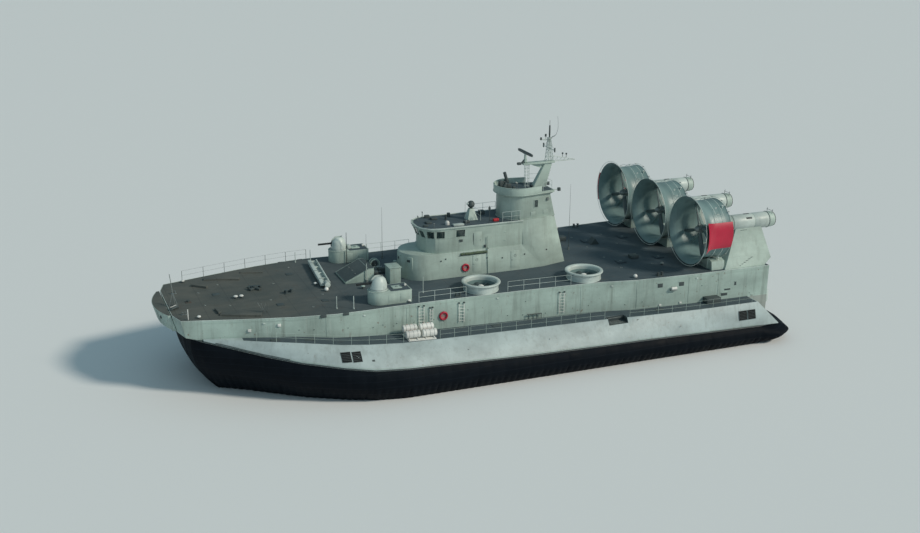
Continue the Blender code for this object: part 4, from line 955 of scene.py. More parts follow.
def build_propeller(name, y):
    shape = Shape(BLADE, STEEL)
    x = DUCT_FRONT - 0.70
    centre = Matrix.Translation((x, y, DUCT_Z)) @ AXES["X"]
    rings = blade_rings(0.10, 1.338, (0.16, 0.26, 0.20), (58, 40, 25), 0.066, 16, 0.02, 0.14)
    for i in range(4):
        turn = centre @ Matrix.Rotation(math.radians(20) + TAU * i / 4, 4, "Z")
        shape.use(0).skin(rings, matrix=turn)
        shape.use(1).turned([(0.074, 0.10), (0.074, 0.19), (0.066, 0.215), (0, 0.215)], (0, 0, 0), "Y", 20, matrix=turn)
    nose = [(0.160, 0.090), (0.140, 0.140), (0.112, 0.185), (0.076, 0.224), (0.038, 0.250), (0, 0.260)]
    profile = [(0.170, -0.130), (0.170, 0.040)] + nose
    shape.use(1).turned([(0, -0.130)] + profile, (x, y, DUCT_Z), "X", 40)
    shape.hoop((x + 0.04, y, DUCT_Z), 0.170, 0.006, "X", 40, 6)
    shape.done(f"screw_{name}", f"propeller_{name}", f"propeller_{name}")


def build_nacelle(name, y):
    """Cowl panels, exhaust ring, the rungs on the fin and the fairing beside the saddle."""
    shape = Shape(PALE, STEEL, SOOT, DARK, DECK, HOUSE)
    z = DUCT_Z + 0.116
    for fore, aft in ((-12.06, -13.21), (-13.24, -14.03)):
        skin = [(0.3795, fore), (0.384, fore - 0.01), (0.384, aft + 0.01), (0.3795, aft)]
        shape.turned([(0.36, fore)] + skin + [(0.36, aft)], (0, y, z), "X", 56, True)
    shape.use(1).hoop((-14.06, y, z), 0.386, 0.018, "X", 48, 8)
    shape.hoop((-12.03, y, z), 0.378, 0.012, "X", 48, 8)
    shape.use(2).turned([(0.342, -14.42), (0.350, -14.42), (0.345, -14.34), (0.335, -14.34)], (0, y, z), "X", 48, True)
    shape.turned([(0, -14.17), (0.10, -14.18), (0.14, -14.23), (0, -14.38)], (0, y, z), "X", 32, True)
    for i in range(6):
        turn = turned_to((-14.20, y, z), TAU * i / 6, "X")
        shape.block((-0.05, -0.012, 0.10), (0.03, 0.012, 0.30), 0.004, turn)
    shape.use(3)
    for angle in (40, 90, 140):
        turn = turned_to((-12.9, y, z), math.radians(angle - 90), "X")
        shape.block((-0.16, -0.05, 0.376), (0.16, 0.05, 0.390), 0.004, turn)
    shape.use(1)
    for across in (0.20, -0.20):
        shape.rod((-14.25, y + across, z + 0.28), (-14.29, y + across, z + 0.52), 0.012, 8)
    shape.rod((-14.26, y - 0.24, z + 0.45), (-14.28, y + 0.24, z + 0.45), 0.010, 8)
    outward = 1 if y >= 0 else -1
    if y:
        shape.use(3)
        wall = y + outward * 0.33
        shape.block((-12.80, wall - 0.03, 5.02), (-12.42, wall + 0.012, 5.17), 0.02)
        for i in range(6):
            share = i / 5
            foot = Vector((-12.06 - 0.71 * share, outward * (4.575 - 0.10 * share), 3.60 + 0.33 * share))
            shape.rod(foot, foot + Vector((-0.10, 0.035 * outward, 0.02)), 0.010, 6)
        shape.use(4).block((-13.95, y - 0.62, 3.50), (-13.42, y + 0.62, 3.53), 0.004)
        outer, inner = y + 0.60 * outward, y - 0.55 * outward
        feet = [(-13.46, outer, 3.53), (-13.92, outer, 3.53), (-13.92, inner, 3.53)]
        shape.use(1).rail(feet, 0.42, HALF_BARS, 0.008, 0.010, 0.4)
        bracket = ((-13.45, 3.51), (-13.85, 3.51), (-13.45, 3.28))
        shape.use(4)
        for sides in ((-0.5, -0.46), (0.46, 0.5)):
            shape.skin([[(x, y + side, height) for x, height in bracket] for side in sides])
        saddle = y + outward * 0.5512
        section = ((0, 3.518), (0.33, 3.518), (0.27, 3.93), (0, 4.00))
        fairing = [[(x, saddle + outward * out, height) for out, height in section] for x in (-11.30, -10.60)]
        shape.use(5).skin(fairing)
    shape.done(f"nacelle_cowl_{name}")


for end_name, (fan_x, fan_y) in FANS.items():
    for side_name, hand in SIDES.items():
        build_lift_drum(f"{side_name}_{end_name}", fan_x, hand * fan_y)
        build_lift_fan(f"{side_name}_{end_name}", fan_x, hand * fan_y)
for place, duct_y in DUCT_Y.items():
    build_duct(place, duct_y, {"port": 1, "starboard": -1}.get(place, 0))
    build_propeller(place, duct_y)
    build_nacelle(place, duct_y)


# Hull sides, walkways and aprons


def build_gunwale():
    shape = Shape(PALE, HULL)
    edge = [(s.x, s.wall) for s in STATIONS] + list(NOSE_CORNERS)
    line = [(x, y + 0.003, DECK_TOP - 0.004) for x, y in edge]
    shape.tube(line + mirrored(line[::-1]), 0.014, 8)
    line = [(s.x, s.wall + 0.004, DECK_TOP - 0.11) for s in STATIONS]
    shape.use(1).tube(line, 0.010, 6)
    shape.tube(mirrored(line), 0.010, 6)
    shape.done("gunwale_bead")


def build_rim_plates():
    """Painted plates over the deck's edge, flush with the wall and the fins' feet."""
    shape = Shape(HULL)
    line = [Vector((s.x, s.wall)) for s in STATIONS] + [Vector(p) for p in NOSE_CORNERS]
    rings = []
    for i, p in enumerate(line):
        along = (line[min(i + 1, len(line) - 1)] - line[max(i - 1, 0)]).normalized()
        out = Vector((-along.y, along.x))
        near, far = p - out * 0.012, p + out * 0.0055
        rings.append([(*near, 3.405), (*far, 3.405), (*far, DECK_TOP + 0.002), (*near, DECK_TOP + 0.002)])
    shape.skin(rings)
    rings = []
    for x in (-13.50, -12.61, -11.27):
        wall, low, high = at_station(x, "wall"), DECK_TOP - 0.001, DECK_TOP + 0.004
        rings.append([(x, 4.60, low), (x, wall, low), (x, wall, high), (x, 4.60, high)])
    shape.skin(rings)
    shape.mirror()
    shape.done("rim_plates")


def walkway_rows(low, high, outer=None):
    places = sorted({low, high} | {s.x for s in STATIONS if low < s.x < high})
    rings = []
    for x in places:
        z = at_station(x, "walk_z") + 0.0006
        inner = at_station(x, "wall") + 0.004
        far = outer or at_station(x, "apron") - 0.03
        far = max(far, inner + 0.02)
        rings.append([(x, inner, z), (x, far, z), (x, far, z + 0.005), (x, inner, z + 0.005)])
    return rings


def build_walkways():
    shape = Shape(WALKWAY_PAINT_AND_SHADE, STEEL, DARK, HOUSE)
    # Dark slate plates on the walkways: their own dark paint together with painted shade.
    shape.skin(walkway_rows(-4.74, 11.50))
    shape.skin(walkway_rows(-5.70, -4.75, 4.89))
    shape.skin(walkway_rows(-12.56, -5.71))
    shape.use(2)
    for x in (8.86, 10.25, 0.4, -7.6):
        y, z = at_station(x, "wall") + 0.36, at_station(x, "walk_z")
        shape.block((x - 0.2, y - 0.12, z), (x + 0.2, y + 0.12, z + 0.03), 0.01)
    for low, high in ((2.0, 3.32), (5.0, 11.0), (-4.60, 1.9), (-12.3, -5.85)):
        count = max(1, round((high - low) / 0.72))
        feet = []
        for i in range(count + 1):
            x = low + (high - low) * i / count
            feet.append((x, at_station(x, "apron") - 0.045, at_station(x, "walk_z") + 0.004))
        shape.use(3).rail(feet, 0.40, HALF_BARS, 0.0045, 0.007, 2.0)
    shape.mirror()
    shape.done("walkway_fittings")


def build_recess_shade():
    """The recess in each apron's upper edge, its floor, back and ends darkened with painted shade, with its step and
    grab bar.
    """
    shape = Shape(DARK, STEEL)
    fore, aft, floor = -4.75, -5.70, 1.85
    top = 2.078
    out = apron_point(-5.2, floor).y - 0.006
    # Dark plates over the recess's floor, back and ends: painted shade.
    shape.block((aft + 0.002, 4.902, floor + 0.0005), (fore - 0.002, out, floor + 0.006))
    shape.block((aft + 0.002, 4.9005, floor + 0.006), (fore - 0.002, 4.906, top))
    for x in (aft + 0.0005, fore - 0.0055):
        face = [(4.906, floor + 0.006), (out - 0.004, floor + 0.006), (5.24, top - 0.004), (4.906, top)]
        shape.skin([[(x + w, y, z) for y, z in face] for w in (0, 0.005)])
    shape.use(1).rod((aft + 0.15, 4.93, 2.0), (fore - 0.15, 4.93, 2.0), 0.012, 8)
    for x in (aft + 0.2, fore - 0.2):
        shape.rod((x, 4.903, 2.0), (x, 4.93, 2.0), 0.010, 6)
    for k in range(4):
        y = 4.98 + 0.09 * k
        shape.rod((aft + 0.1, y, floor + 0.012), (fore - 0.1, y, floor + 0.012), 0.007, 6)
    shape.mirror()
    shape.done("recess_painted_shade")


def apron_patch(shape, x1, x2, z1, z2, low, high, steps=1):
    """A thin plate that follows the apron between two heights."""
    rings = []
    for k in range(steps + 1):
        x = x1 + (x2 - x1) * k / steps
        rings.append([apron_point(x, z, out) for z, out in ((z1, low), (z2, low), (z2, high), (z1, high))])
    shape.skin(rings)


# Louvres in the apron: x range and z range
VENTS = [(7.41, 7.79, 1.87, 2.19), (6.97, 7.33, 1.85, 2.17), (-11.92, -11.51, 1.33, 1.73), (-12.39, -12.0, 1.33, 1.73)]


def build_apron_fittings():
    shape = Shape(DARK, PALE, STEEL, HULL, SEAL)
    for x1, x2, z1, z2 in VENTS:
        # A near-black plate behind the louvres: painted shade in the vent's opening.
        shape.use(4)
        apron_patch(shape, x1, x2, z1, z2, -0.010, 0.022, 5)
        shape.use(0)
        for k in range(1, 6):
            z = z1 + (z2 - z1) * k / 6
            apron_patch(shape, x1 + 0.015, x2 - 0.015, z - 0.008, z + 0.004, 0.020, 0.027, 5)
        edge = 0.016
        for a, b, c, d in (
            (x1 - edge, x1, z1 - edge, z2 + edge),
            (x2, x2 + edge, z1 - edge, z2 + edge),
            (x1, x2, z1 - edge, z1),
            (x1, x2, z2, z2 + edge),
        ):
            apron_patch(shape, a, b, c, d, -0.006, 0.026, 5)
    for x, z in ((6.50, 1.84), (-6.2, 1.92)):
        apron_patch(shape, x - 0.06, x + 0.06, z - 0.03, z + 0.03, -0.003, 0.006)
    shape.use(2)
    for x, z in ((-5.55, 1.30), (2.2, 1.72), (-1.7, 1.66), (-8.3, 1.44), (9.1, 2.25)):
        p, q = apron_point(x, z, -0.01), apron_point(x, z, 0.035)
        shape.rod(p, q, 0.018, 10)
    line = [apron_point(x, at_station(x, "knuckle_z") + 0.055, 0.008) for x in [-12.55 + 0.5 * i for i in range(46)]]
    shape.use(3).tube(line, 0.012, 6)
    # A dark bar along the forward apron: the painted shadow line under a small ledge.
    ledge_shadow = ((12.60, 2.56), (12.32, 2.51), (11.60, 2.32), (10.82, 2.11), (9.84, 1.96))
    line = [apron_point(x, max(z, at_station(x, "knuckle_z") + 0.05), 0.010) for x, z in ledge_shadow]
    shape.use(0).tube(line, 0.020, 8)
    shape.mirror()
    shape.done("apron_fittings")


# Small round fittings on the wall: x and z
DOTS = [
    (9.19, 2.93), (8.57, 2.89), (7.12, 2.83), (6.01, 2.69), (5.56, 2.74), (5.06, 2.62), (4.92, 2.72), (4.13, 2.67),
    (3.20, 2.66), (1.60, 2.92), (-0.31, 2.41), (-1.05, 2.35), (-1.17, 2.98), (-2.16, 2.31), (-12.68, 2.22),
    (-12.79, 2.10), (-6.05, 2.35), (-6.9, 2.42), (-10.0, 2.9), (-4.3, 2.45),
]


def ladder_on_wall(shape, x, low, high, half=0.12):
    place = wall_place(x, 0)
    for end in (-half, half):
        shape.use(1).rod(place @ Vector((end, 0.055, low)), place @ Vector((end, 0.055, high)), 0.014, 8)
        for z in (low + 0.06, (low + high) / 2, high - 0.05):
            shape.rod(place @ Vector((end, -0.004, z)), place @ Vector((end, 0.055, z)), 0.010, 6)
        shape.use(0).block((end - 0.035, -0.003, high + 0.02), (end + 0.035, 0.075, high + 0.075), 0.012, place)
    for k in range(round((high - low) / 0.145)):
        z = low + 0.06 + 0.145 * k
        shape.use(1).rod(place @ Vector((-half, 0.055, z)), place @ Vector((half, 0.055, z)), 0.009, 6)


def life_ring(shape, place, radius=0.165, thick=0.042):
    """A ring on a wall plate; slots 2 and 3 are its red and the plate's faded pink."""
    bend = place @ Matrix.Rotation(math.pi / 2, 4, "X")
    points = [bend @ Vector((radius * c, radius * s, -thick)) for c, s in circle(40)]
    shape.use(2).tube(points, thick, 12, closed=True)
    shape.use(3).turned([(0, 0.006), (radius, 0.006), (radius, -0.003), (0, -0.003)], (0, 0, 0), "Y", 32, matrix=place)
    for k in range(4):
        middle = Matrix.Rotation(math.radians(45 + 90 * k), 4, "Z") @ Vector((radius, 0, -thick))
        shape.use(2).ball(bend @ middle, thick * 1.12, 1, 8)
    shape.use(4)
    shape.block((-radius * 0.8, -0.003, -0.02), (radius * 0.8, 0.02, 0.02), 0.004, place)
    for end in (-0.09, 0.09):
        shape.rod(place @ Vector((end, -0.003, -radius)), place @ Vector((end, 0.09, -radius - 0.05)), 0.009, 6)


# Hooded openings in the wall, each shown as a dark plate of painted shade: x, z, half-width and half-height
SIDE_VENTS = (
    (-7.79, 3.13, 0.13, 0.10), (-8.90, 3.10, 0.13, 0.10), (-11.27, 2.32, 0.17, 0.07), (-11.43, 2.55, 0.16, 0.04),
    (-11.85, 2.80, 0.05, 0.09),
)


def build_wall_fittings():
    """Dots, ladders, life ring, lamps, hooded vents, drum, rack and drain strips of the hull's sides."""
    shape = Shape(DARK, WHITE, RED, PINK, STEEL, HULL, PALE)
    ring = [(0.030, -0.003), (0.030, 0.010), (0.022, 0.012), (0.022, -0.003)]
    disc = [(0, 0.006), (0.0225, 0.006), (0.0225, -0.003)]
    for x, z in DOTS:
        place = wall_place(x, z)
        shape.use(5).turned(ring, (0, 0, 0), "Y", 16, True, place)
        shape.use(0).turned(disc, (0, 0, 0), "Y", 16, matrix=place)
    ladder_on_wall(shape, 3.79, 2.47, 3.33)
    ladder_on_wall(shape, 1.91, 2.40, 3.25)
    ladder_on_wall(shape, -2.94, 2.24, 3.20)
    ladder_on_wall(shape, 3.33, 2.60, 3.20, 0.06)
    life_ring(shape, wall_place(2.76, 2.79))
    shape.use(5).plate(wall_place(3.38, 3.14), 0.09, 0.016, 0.09, 0.006, 0.003)
    shape.use(1)
    for x, z in ((9.99, 3.20), (11.19, 3.01)):
        shape.plate(wall_place(x, z), 0.07, 0.06, 0.06, 0.015, 0.003)
    for x, z in ((-7.83, 2.16), (-8.89, 2.17)):
        shape.plate(wall_place(x, z), 0.06, 0.05, 0.04, 0.012, 0.003)
    for x, z, width, height in SIDE_VENTS:
        place = wall_place(x, z)
        # A dark plate under the hood: painted shade in the opening.
        shape.use(0).plate(place, width, 0.012, height, 0.006, 0.003)
        shape.use(5).block((-width - 0.02, -0.003, height), (width + 0.02, 0.026, height + 0.02), 0.004, place)
    shape.use(1).tube([wall_place(x, 2.95) @ Vector((0, 0.10, 0)) for x in (-8.60, -8.34)], 0.075, 14)
    shape.use(4).block((-0.16, -0.003, -0.11), (0.16, 0.13, -0.07), 0.006, wall_place(-8.47, 2.95))
    place = wall_place(-1.60, 0)
    shape.use(0)
    for z in (2.12, 2.36):
        shape.rod(place @ Vector((-0.34, 0.10, z)), place @ Vector((0.34, 0.10, z)), 0.022, 8)
    for end in (-0.32, -0.10, 0.12, 0.32):
        shape.rod(place @ Vector((end, 0.10, 2.12)), place @ Vector((end, 0.10, 2.36)), 0.014, 8)
        shape.rod(place @ Vector((end, -0.003, 2.34)), place @ Vector((end, 0.10, 2.34)), 0.012, 6)
    shape.block((-0.38, -0.003, -0.14), (0.38, 0.42, 0.14), 0.03, wall_place(-10.48, 2.205))
    shape.use(6)
    for x in (10.6, 6.4, 0.2, -5.4, -9.7):
        shape.plate(wall_place(x, 3.30), 0.05, 0.035, 0.03, 0.008, 0.003)
    shape.use(5)
    for x in (8.05, 4.45, -3.9, -6.6, -9.3, -10.9):
        low = at_station(x, "walk_z") + 0.04
        shape.block((-0.012, -0.002, low), (0.012, 0.011, 3.40), 0.003, wall_place(x, 0))
    shape.mirror()
    shape.done("wall_fittings")


build_gunwale()
build_rim_plates()
build_walkways()
build_recess_shade()
build_apron_fittings()
build_wall_fittings()


# Ramps

# The bow ramp's outer face: x at its middle, z it is measured from, rake and bow
RAMP_FACE_X, RAMP_FACE_Z, RAMP_RAKE, RAMP_BOW = 14.262, 3.419, 0.28, 0.399
RAMP_RIB = ((-0.03, -0.03), (0.008, -0.02), (0.008, 0.02), (-0.03, 0.03))
STERN_X = STATIONS[0].x
STERN_RAMP_AFT = STERN_X - 0.022 - 0.12


def ramp_face(y, z):
    """How far forward the bow ramp's bowed outer face lies."""
    return RAMP_FACE_X - (RAMP_FACE_Z - z) * RAMP_RAKE + RAMP_BOW * (1 - (y / RAMP_HALF) ** 2)


def build_bow_ramp_ribs():
    shape = Shape(HULL, STEEL, SEAL, DARK, DECK, PALE)
    for k in range(-2, 3):
        y = 0.6 * k
        shape.skin([[(ramp_face(y, z) + out, y + across, z) for out, across in RAMP_RIB] for z in (2.88, 3.46)])
    front = [(ramp_face(y, DECK_TOP) - 0.012, y) for y in [RAMP_HALF * (k / 12 - 1) for k in range(25)]]
    shape.use(4).slab(front + [(14.178, RAMP_HALF), (14.178, -RAMP_HALF)], DECK_TOP - 0.001, DECK_TOP + 0.005)
    shape.use(0).tube([(x + 0.008, y, DECK_TOP - 0.004) for x, y in front], 0.013, 6)
    shape.use(3)
    for y in (-0.9, 0.9):
        x = ramp_face(y, 3.25)
        shape.block((x - 0.03, y - 0.10, 3.19), (x + 0.02, y + 0.10, 3.31), 0.01)
    shape.done("bow_ramp_ribs", "bow_ramp")


def build_stern_ramp_ribs():
    shape = Shape(HULL, STEEL, SEAL, DARK)
    aft = STERN_RAMP_AFT
    for k in range(-3, 4):
        y = 0.45 * k
        shape.block((aft - 0.022, y - 0.025, 2.14), (aft + 0.01, y + 0.025, 3.35), 0.006)
    for z in (2.3, 2.75, 3.2):
        shape.block((aft - 0.018, -1.55, z - 0.02), (aft + 0.01, 1.55, z + 0.02), 0.006)
    shape.use(1)
    for y in (-1.45, 1.45):
        shape.hoop((aft - 0.03, y, 3.1), 0.04, 0.012, "X", 16, 6)
    shape.done("stern_ramp_ribs", "stern_ramp")


# Deck


def build_bow_fittings():
    """Jackstaff, corner post, winch, bollards and a small hatch at the bow."""
    shape = Shape(DARK, WHITE, STEEL, RUSTY, PALE)
    foot, head = Vector((13.81, 0.54, DECK_TOP)), Vector((13.95, 0.45, 4.95))
    shape.use(2).rod(foot, head, 0.022, 8, 0.014)
    for away in ((0.26, 0.02, 0), (-0.10, 0.26, 0)):
        shape.rod(foot + Vector(away), foot.lerp(head, 0.42), 0.012, 6)
    shape.crates([(13.74, 13.88, 0.46, 0.62, 0.03, 0.008)])
    shape.use(1).posts([(13.56, 2.40, 0.46, 0.020, 8)])
    shape.use(0).rod((14.04, 1.06, DECK_TOP + 0.07), (13.76, 0.84, DECK_TOP + 0.07), 0.055, 14)
    shape.crates([(13.98, 14.10, 1.00, 1.12, 0.10, 0.01), (13.70, 13.82, 0.78, 0.90, 0.10, 0.01)])
    shape.use(1).rod((14.07, 1.00, DECK_TOP + 0.13), (13.79, 0.78, DECK_TOP + 0.13), 0.012, 8)
    shape.use(3).crates([(13.08, 13.34, 0.12, 0.38, 0.012, 0.004)])
    shape.use(0).posts([(13.21, 0.25, 0.10, 0.06, 14)], sink=0)
    shape.use(2)
    for y in (-1.05, 1.75):
        shape.crates([(13.50, 13.74, y - 0.06, y + 0.06, 0.02, 0.006)])
        for x in (13.56, 13.68):
            shape.posts([(x, y, 0.11, 0.028, 12)], sink=0)
            shape.rod((x, y, DECK_TOP + 0.10), (x, y, DECK_TOP + 0.125), 0.038, 12)
    shape.done("bow_fittings")


def mushroom(shape, x, y, cap=0.085, height=0.13, slot=1):
    """A mushroom vent, with its cap in the given slot and a dark stem."""
    shape.use(0).posts([(x, y, height * 0.6, cap * 0.62, 14)])
    profile = ((0, 0), (0.55, 0.008), (0.9, 0.028), (1, 0.055), (0.9, 0.068), (0, 0.068))
    shape.use(slot).turned([(cap * r, DECK_TOP + height - drop) for r, drop in profile], (x, y, 0), steps=20)


def bollards(shape, x, y, apart, radius, turn=0.0):
    """A pair of capped bollards on one base plate."""
    along = Vector((math.cos(turn), math.sin(turn), 0)) * apart / 2
    for end in (-1, 1):
        foot = Vector((x, y, DECK_TOP - SINK)) + along * end
        shape.use(0).rod(foot, foot + Vector((0, 0, 0.16)), radius, 14)
        shape.rod(foot + Vector((0, 0, 0.14)), foot + Vector((0, 0, 0.18)), radius * 1.25, 14)
    place = turned_to((x, y, DECK_TOP), turn)
    shape.block((-apart * 0.85, -radius * 1.6, -SINK), (apart * 0.85, radius * 1.6, 0.022), 0.006, place)


def band(points, width):
    """A plan outline that runs along a line at a width."""
    points = [Vector(p) for p in points]
    left, right = [], []
    for i, p in enumerate(points):
        along = points[min(i + 1, len(points) - 1)] - points[max(i - 1, 0)]
        side = Vector((-along.y, along.x)).normalized() * width / 2
        left.append(tuple(p + side))
        right.append(tuple(p - side))
    return left + right[::-1]


# Low coamings on the foredeck: line, width and height
TRAYS = (
    ([(12.25, 1.62), (12.19, 2.22)], 0.14, 0.10),
    ([(12.19, 2.30), (11.40, 2.66), (10.60, 2.98)], 0.26, 0.08),
    ([(12.70, -1.80), (12.11, -1.30)], 0.14, 0.10),
    ([(12.05, -2.48), (11.30, -2.30), (10.52, -1.98)], 0.24, 0.07),
    ([(10.3, -2.90), (9.3, -2.60)], 0.16, 0.05),
)
# Lashing eyes on the foredeck, and its posts with their heights
FORE_EYES = (
    (12.6, 0.9), (12.6, -0.8), (11.6, 1.3), (11.6, -1.6), (9.8, 1.2), (9.2, -0.9), (8.3, 2.7), (8.0, -2.9), (7.5, 1.3),
)

FORE_POSTS = ((7.42, 3.28, 0.56), (6.74, 3.54, 0.58), (3.26, 2.65, 0.75), (7.50, -3.55, 0.5), (6.72, -3.71, 0.5))


def build_foredeck():
    """Vents, winch, trays, hatches, lashing eyes, fairleads and posts."""
    shape = Shape(DARK, WHITE, STEEL, DECK, PALE, RUSTY)
    for x, y in ((13.00, -2.45), (13.11, 2.38), (7.46, -0.04), (4.25, 3.59)):
        mushroom(shape, x, y)
    for x, y in ((11.19, 0.49), (10.94, 0.50)):
        mushroom(shape, x, y, 0.10, 0.15)
    x, y = 10.15, -0.45
    for turn in (0.62, -0.95):
        shape.use(0).block((-0.33, -0.075, -SINK), (0.33, 0.075, 0.10), 0.02, turned_to((x, y, DECK_TOP), turn))
    shape.posts([(x, y, 0.16, 0.11, 18), (x - 0.26, y, 0.14, 0.06, 14), (x + 0.26, y, 0.14, 0.06, 14)], sink=0)
    bollards(shape, 8.85, 0.62, 0.26, 0.062, 0.25)
    shape.crates([(8.66, 9.04, 0.46, 0.52, 0.09, 0.01)])
    shape.use(3)
    for line, width, height in TRAYS:
        shape.slab(band(line, width), DECK_TOP - SINK, DECK_TOP + height, 0.012)
    for x, y in ((9.55, 1.95), (8.2, -1.9), (11.9, -0.3), (7.6, 2.1)):
        shape.use(0).crates([(x - 0.16, x + 0.16, y - 0.16, y + 0.16, 0.018, 0.01)])
    shape.use(2)
    for foot, tip, height, radius in (
        ((10.44, 2.60), (10.52, 2.60), 0.42, 0.012),
        ((10.44, 2.60), (10.36, 2.66), 0.42, 0.012),
        ((10.44, 2.60), (10.66, 2.54), 0.44, 0.010),
        ((10.30, 2.60), (10.26, 2.70), 0.36, 0.010),
    ):
        shape.rod((*foot, DECK_TOP), (*tip, DECK_TOP + height), radius, 6)
    shape.eyes(FORE_EYES, DECK_TOP + 0.004)
    shape.use(0)
    for x, z in ((8.16, 3.40), (7.20, 3.42)):
        for wall in (at_station(x, "wall"), -at_station(x, "wall")):
            shape.block((x - 0.13, wall - 0.035, z), (x + 0.13, wall + 0.035, DECK_TOP + 0.012), 0.012)
    shape.use(4)
    for x, y, height in FORE_POSTS:
        shape.posts([(x, y, height, 0.016, 8), (x, y, 0.05, 0.034, 10)])
    shape.done("foredeck_fittings")


def edge_feet(low, high, side, every=0.72):
    """Feet of a rail along the deck's edge."""
    count = max(1, round(abs(high - low) / every))
    places = [low + (high - low) * i / count for i in range(count + 1)]
    return [(x, side * (at_station(x, "wall") - 0.09), DECK_TOP - SINK) for x in places]


def build_deck_rails():
    shape = Shape(PALE, STEEL)
    for side in (1, -1):
        for low, high in ((3.86, 1.66), (-0.34, -3.42)):
            shape.use(0).rail(edge_feet(low, high, side), 0.47, HALF_BARS, 0.0075, 0.010, 2.0)
    shape.use(1).rail(edge_feet(13.0, 6.9, -1, 1.0), 0.50, (0.56, 1.0), 0.004, 0.011, 2.0)
    feet = [(-13.50, y, DECK_TOP - SINK) for y in (-1.35, -0.45, 0.45, 1.35)]
    shape.use(0).rail(feet, 0.47, HALF_BARS, 0.009, 0.012, 2.0)
    shape.done("deck_rails")


# Whip aerials: x, y, height, height of the stout foot, and the foot's slot and radius
WHIPS = ((5.18, 0.42, 2.30, 0.9, 3, 0.028), (3.39, -2.75, 2.55, 0.25, 0, 0.022), (-5.74, -0.87, 3.35, 0.25, 0, 0.022))
# The vent house's plan, low corner and high corner, and the length of its level top
VENT_HOUSE, VENT_HOUSE_FLAT = ((4.80, -1.25), (6.16, 0.35)), 0.25


def build_hose_reel(shape):
    reel = Vector((4.32, -1.10, DECK_TOP + 0.34))
    shape.use(4)
    for y in (-0.10, 0.10):
        shape.hoop(reel + Vector((0, y, 0)), 0.22, 0.028, "Y", 28, 8)
    shape.use(0).rod(reel - Vector((0, 0.13, 0)), reel + Vector((0, 0.13, 0)), 0.09, 16)
    for k in range(5):
        shape.hoop(reel + Vector((0, -0.07 + 0.035 * k, 0)), 0.125, 0.019, "Y", 24, 8)
    shape.use(2)
    for y in (-0.15, 0.15):
        for x in (-0.16, 0.16):
            shape.rod((reel.x + x, reel.y + y, DECK_TOP - SINK), (reel.x, reel.y + y, reel.z), 0.014, 8)


def build_vent_house_lid(shape):
    """The sloping lid over the vent house, with its beads, louvres and lifting eyes."""
    ((x1, y1), (x2, y2)), top = VENT_HOUSE, DECK_TOP + 0.60
    bend, low = x1 + VENT_HOUSE_FLAT, DECK_TOP + 0.08
    lid = [(x1 + 0.01, top + 0.001), (bend, top + 0.001), (x2 - 0.01, low + 0.002)]
    lid += [(x2 - 0.01, low + 0.01), (bend, top + 0.008), (x1 + 0.01, top + 0.008)]
    shape.use(0).skin([[(x, y, z) for x, z in lid] for y in (y1 + 0.012, y2 - 0.012)])
    shape.use(4)
    for y in (y1, y2):
        shape.rod((x1, y, top), (bend, y, top), 0.012, 6)
        shape.rod((bend, y, top), (x2, y, low), 0.012, 6)
    shape.rod((bend, y1, top), (bend, y2, top), 0.012, 6)
    shape.use(0)
    for k in range(5):
        z = DECK_TOP + 0.16 + 0.075 * k
        shape.block((x1 - 0.006, y1 + 0.30, z), (x1 + 0.01, y2 - 0.30, z + 0.03), 0.004)
    middle, half_way = bend + (x2 - bend) / 2, top - (top - low) / 2
    shape.use(2).eyes([(middle, y) for y in (-0.95, -0.45, 0.05)], half_way + 0.015, 0.035, 0.008, 14)


def build_midship_gear():
    """Hose reel, aerials, lockers and the cluttered gear between the guns and the house."""
    shape = Shape(DARK, WHITE, STEEL, PALE, HULL, OLIVE)
    for x, y, height, stout, slot, radius in WHIPS:
        shape.use(2).posts([(x, y, 0.12, 0.045, 14)])
        shape.use(slot).rod((x, y, DECK_TOP + 0.10), (x, y, DECK_TOP + stout), radius, 10, 0.016)
        shape.use(0).rod((x, y, DECK_TOP + stout - 0.01), (x, y, DECK_TOP + height), 0.011, 6, 0.004)
    shape.rod((5.24, -2.55, DECK_TOP), (5.24, -2.55, 5.05), 0.020, 8, 0.012)
    build_hose_reel(shape)
    shape.use(0).crates([(3.95, 4.30, -0.72, -0.48, 0.28, 0.02), (4.38, 4.62, -0.62, -0.20, 0.20, 0.02)])
    shape.posts([(4.45, 0.10, 0.34, 0.07, 16), (4.64, 1.55, 0.22, 0.10, 18)], sink=0)
    shape.crates([(4.96, 5.3, 1.7, 1.98, 0.20, 0.02)])
    shape.use(5).crates([(4.35, 4.60, 1.35, 1.85, 0.15, 0.04)])
    shape.use(3).rod((4.75, -0.85, DECK_TOP + 0.25), (4.05, -0.85, DECK_TOP + 0.25), 0.012, 6)
    shape.posts([(4.75, -0.85, 0.26, 0.012, 6), (4.05, -0.85, 0.26, 0.012, 6)])
    for x, y in ((5.6, 1.2), (3.1, -1.7)):
        mushroom(shape, x, y, 0.10, 0.17, 4)
    shape.use(0).block((3.98, 0.44, DECK_TOP + 0.10), (4.10, 0.452, DECK_TOP + 0.66), 0.01)
    shape.use(2).rod((4.05, 0.43, DECK_TOP + 0.40), (4.05, 0.45, DECK_TOP + 0.40), 0.02, 8)
    shape.use(4).block((3.74, 0.42, DECK_TOP + 0.772), (4.34, 1.18, DECK_TOP + 0.80), 0.01)
    build_vent_house_lid(shape)
    shape.done("midship_gear")


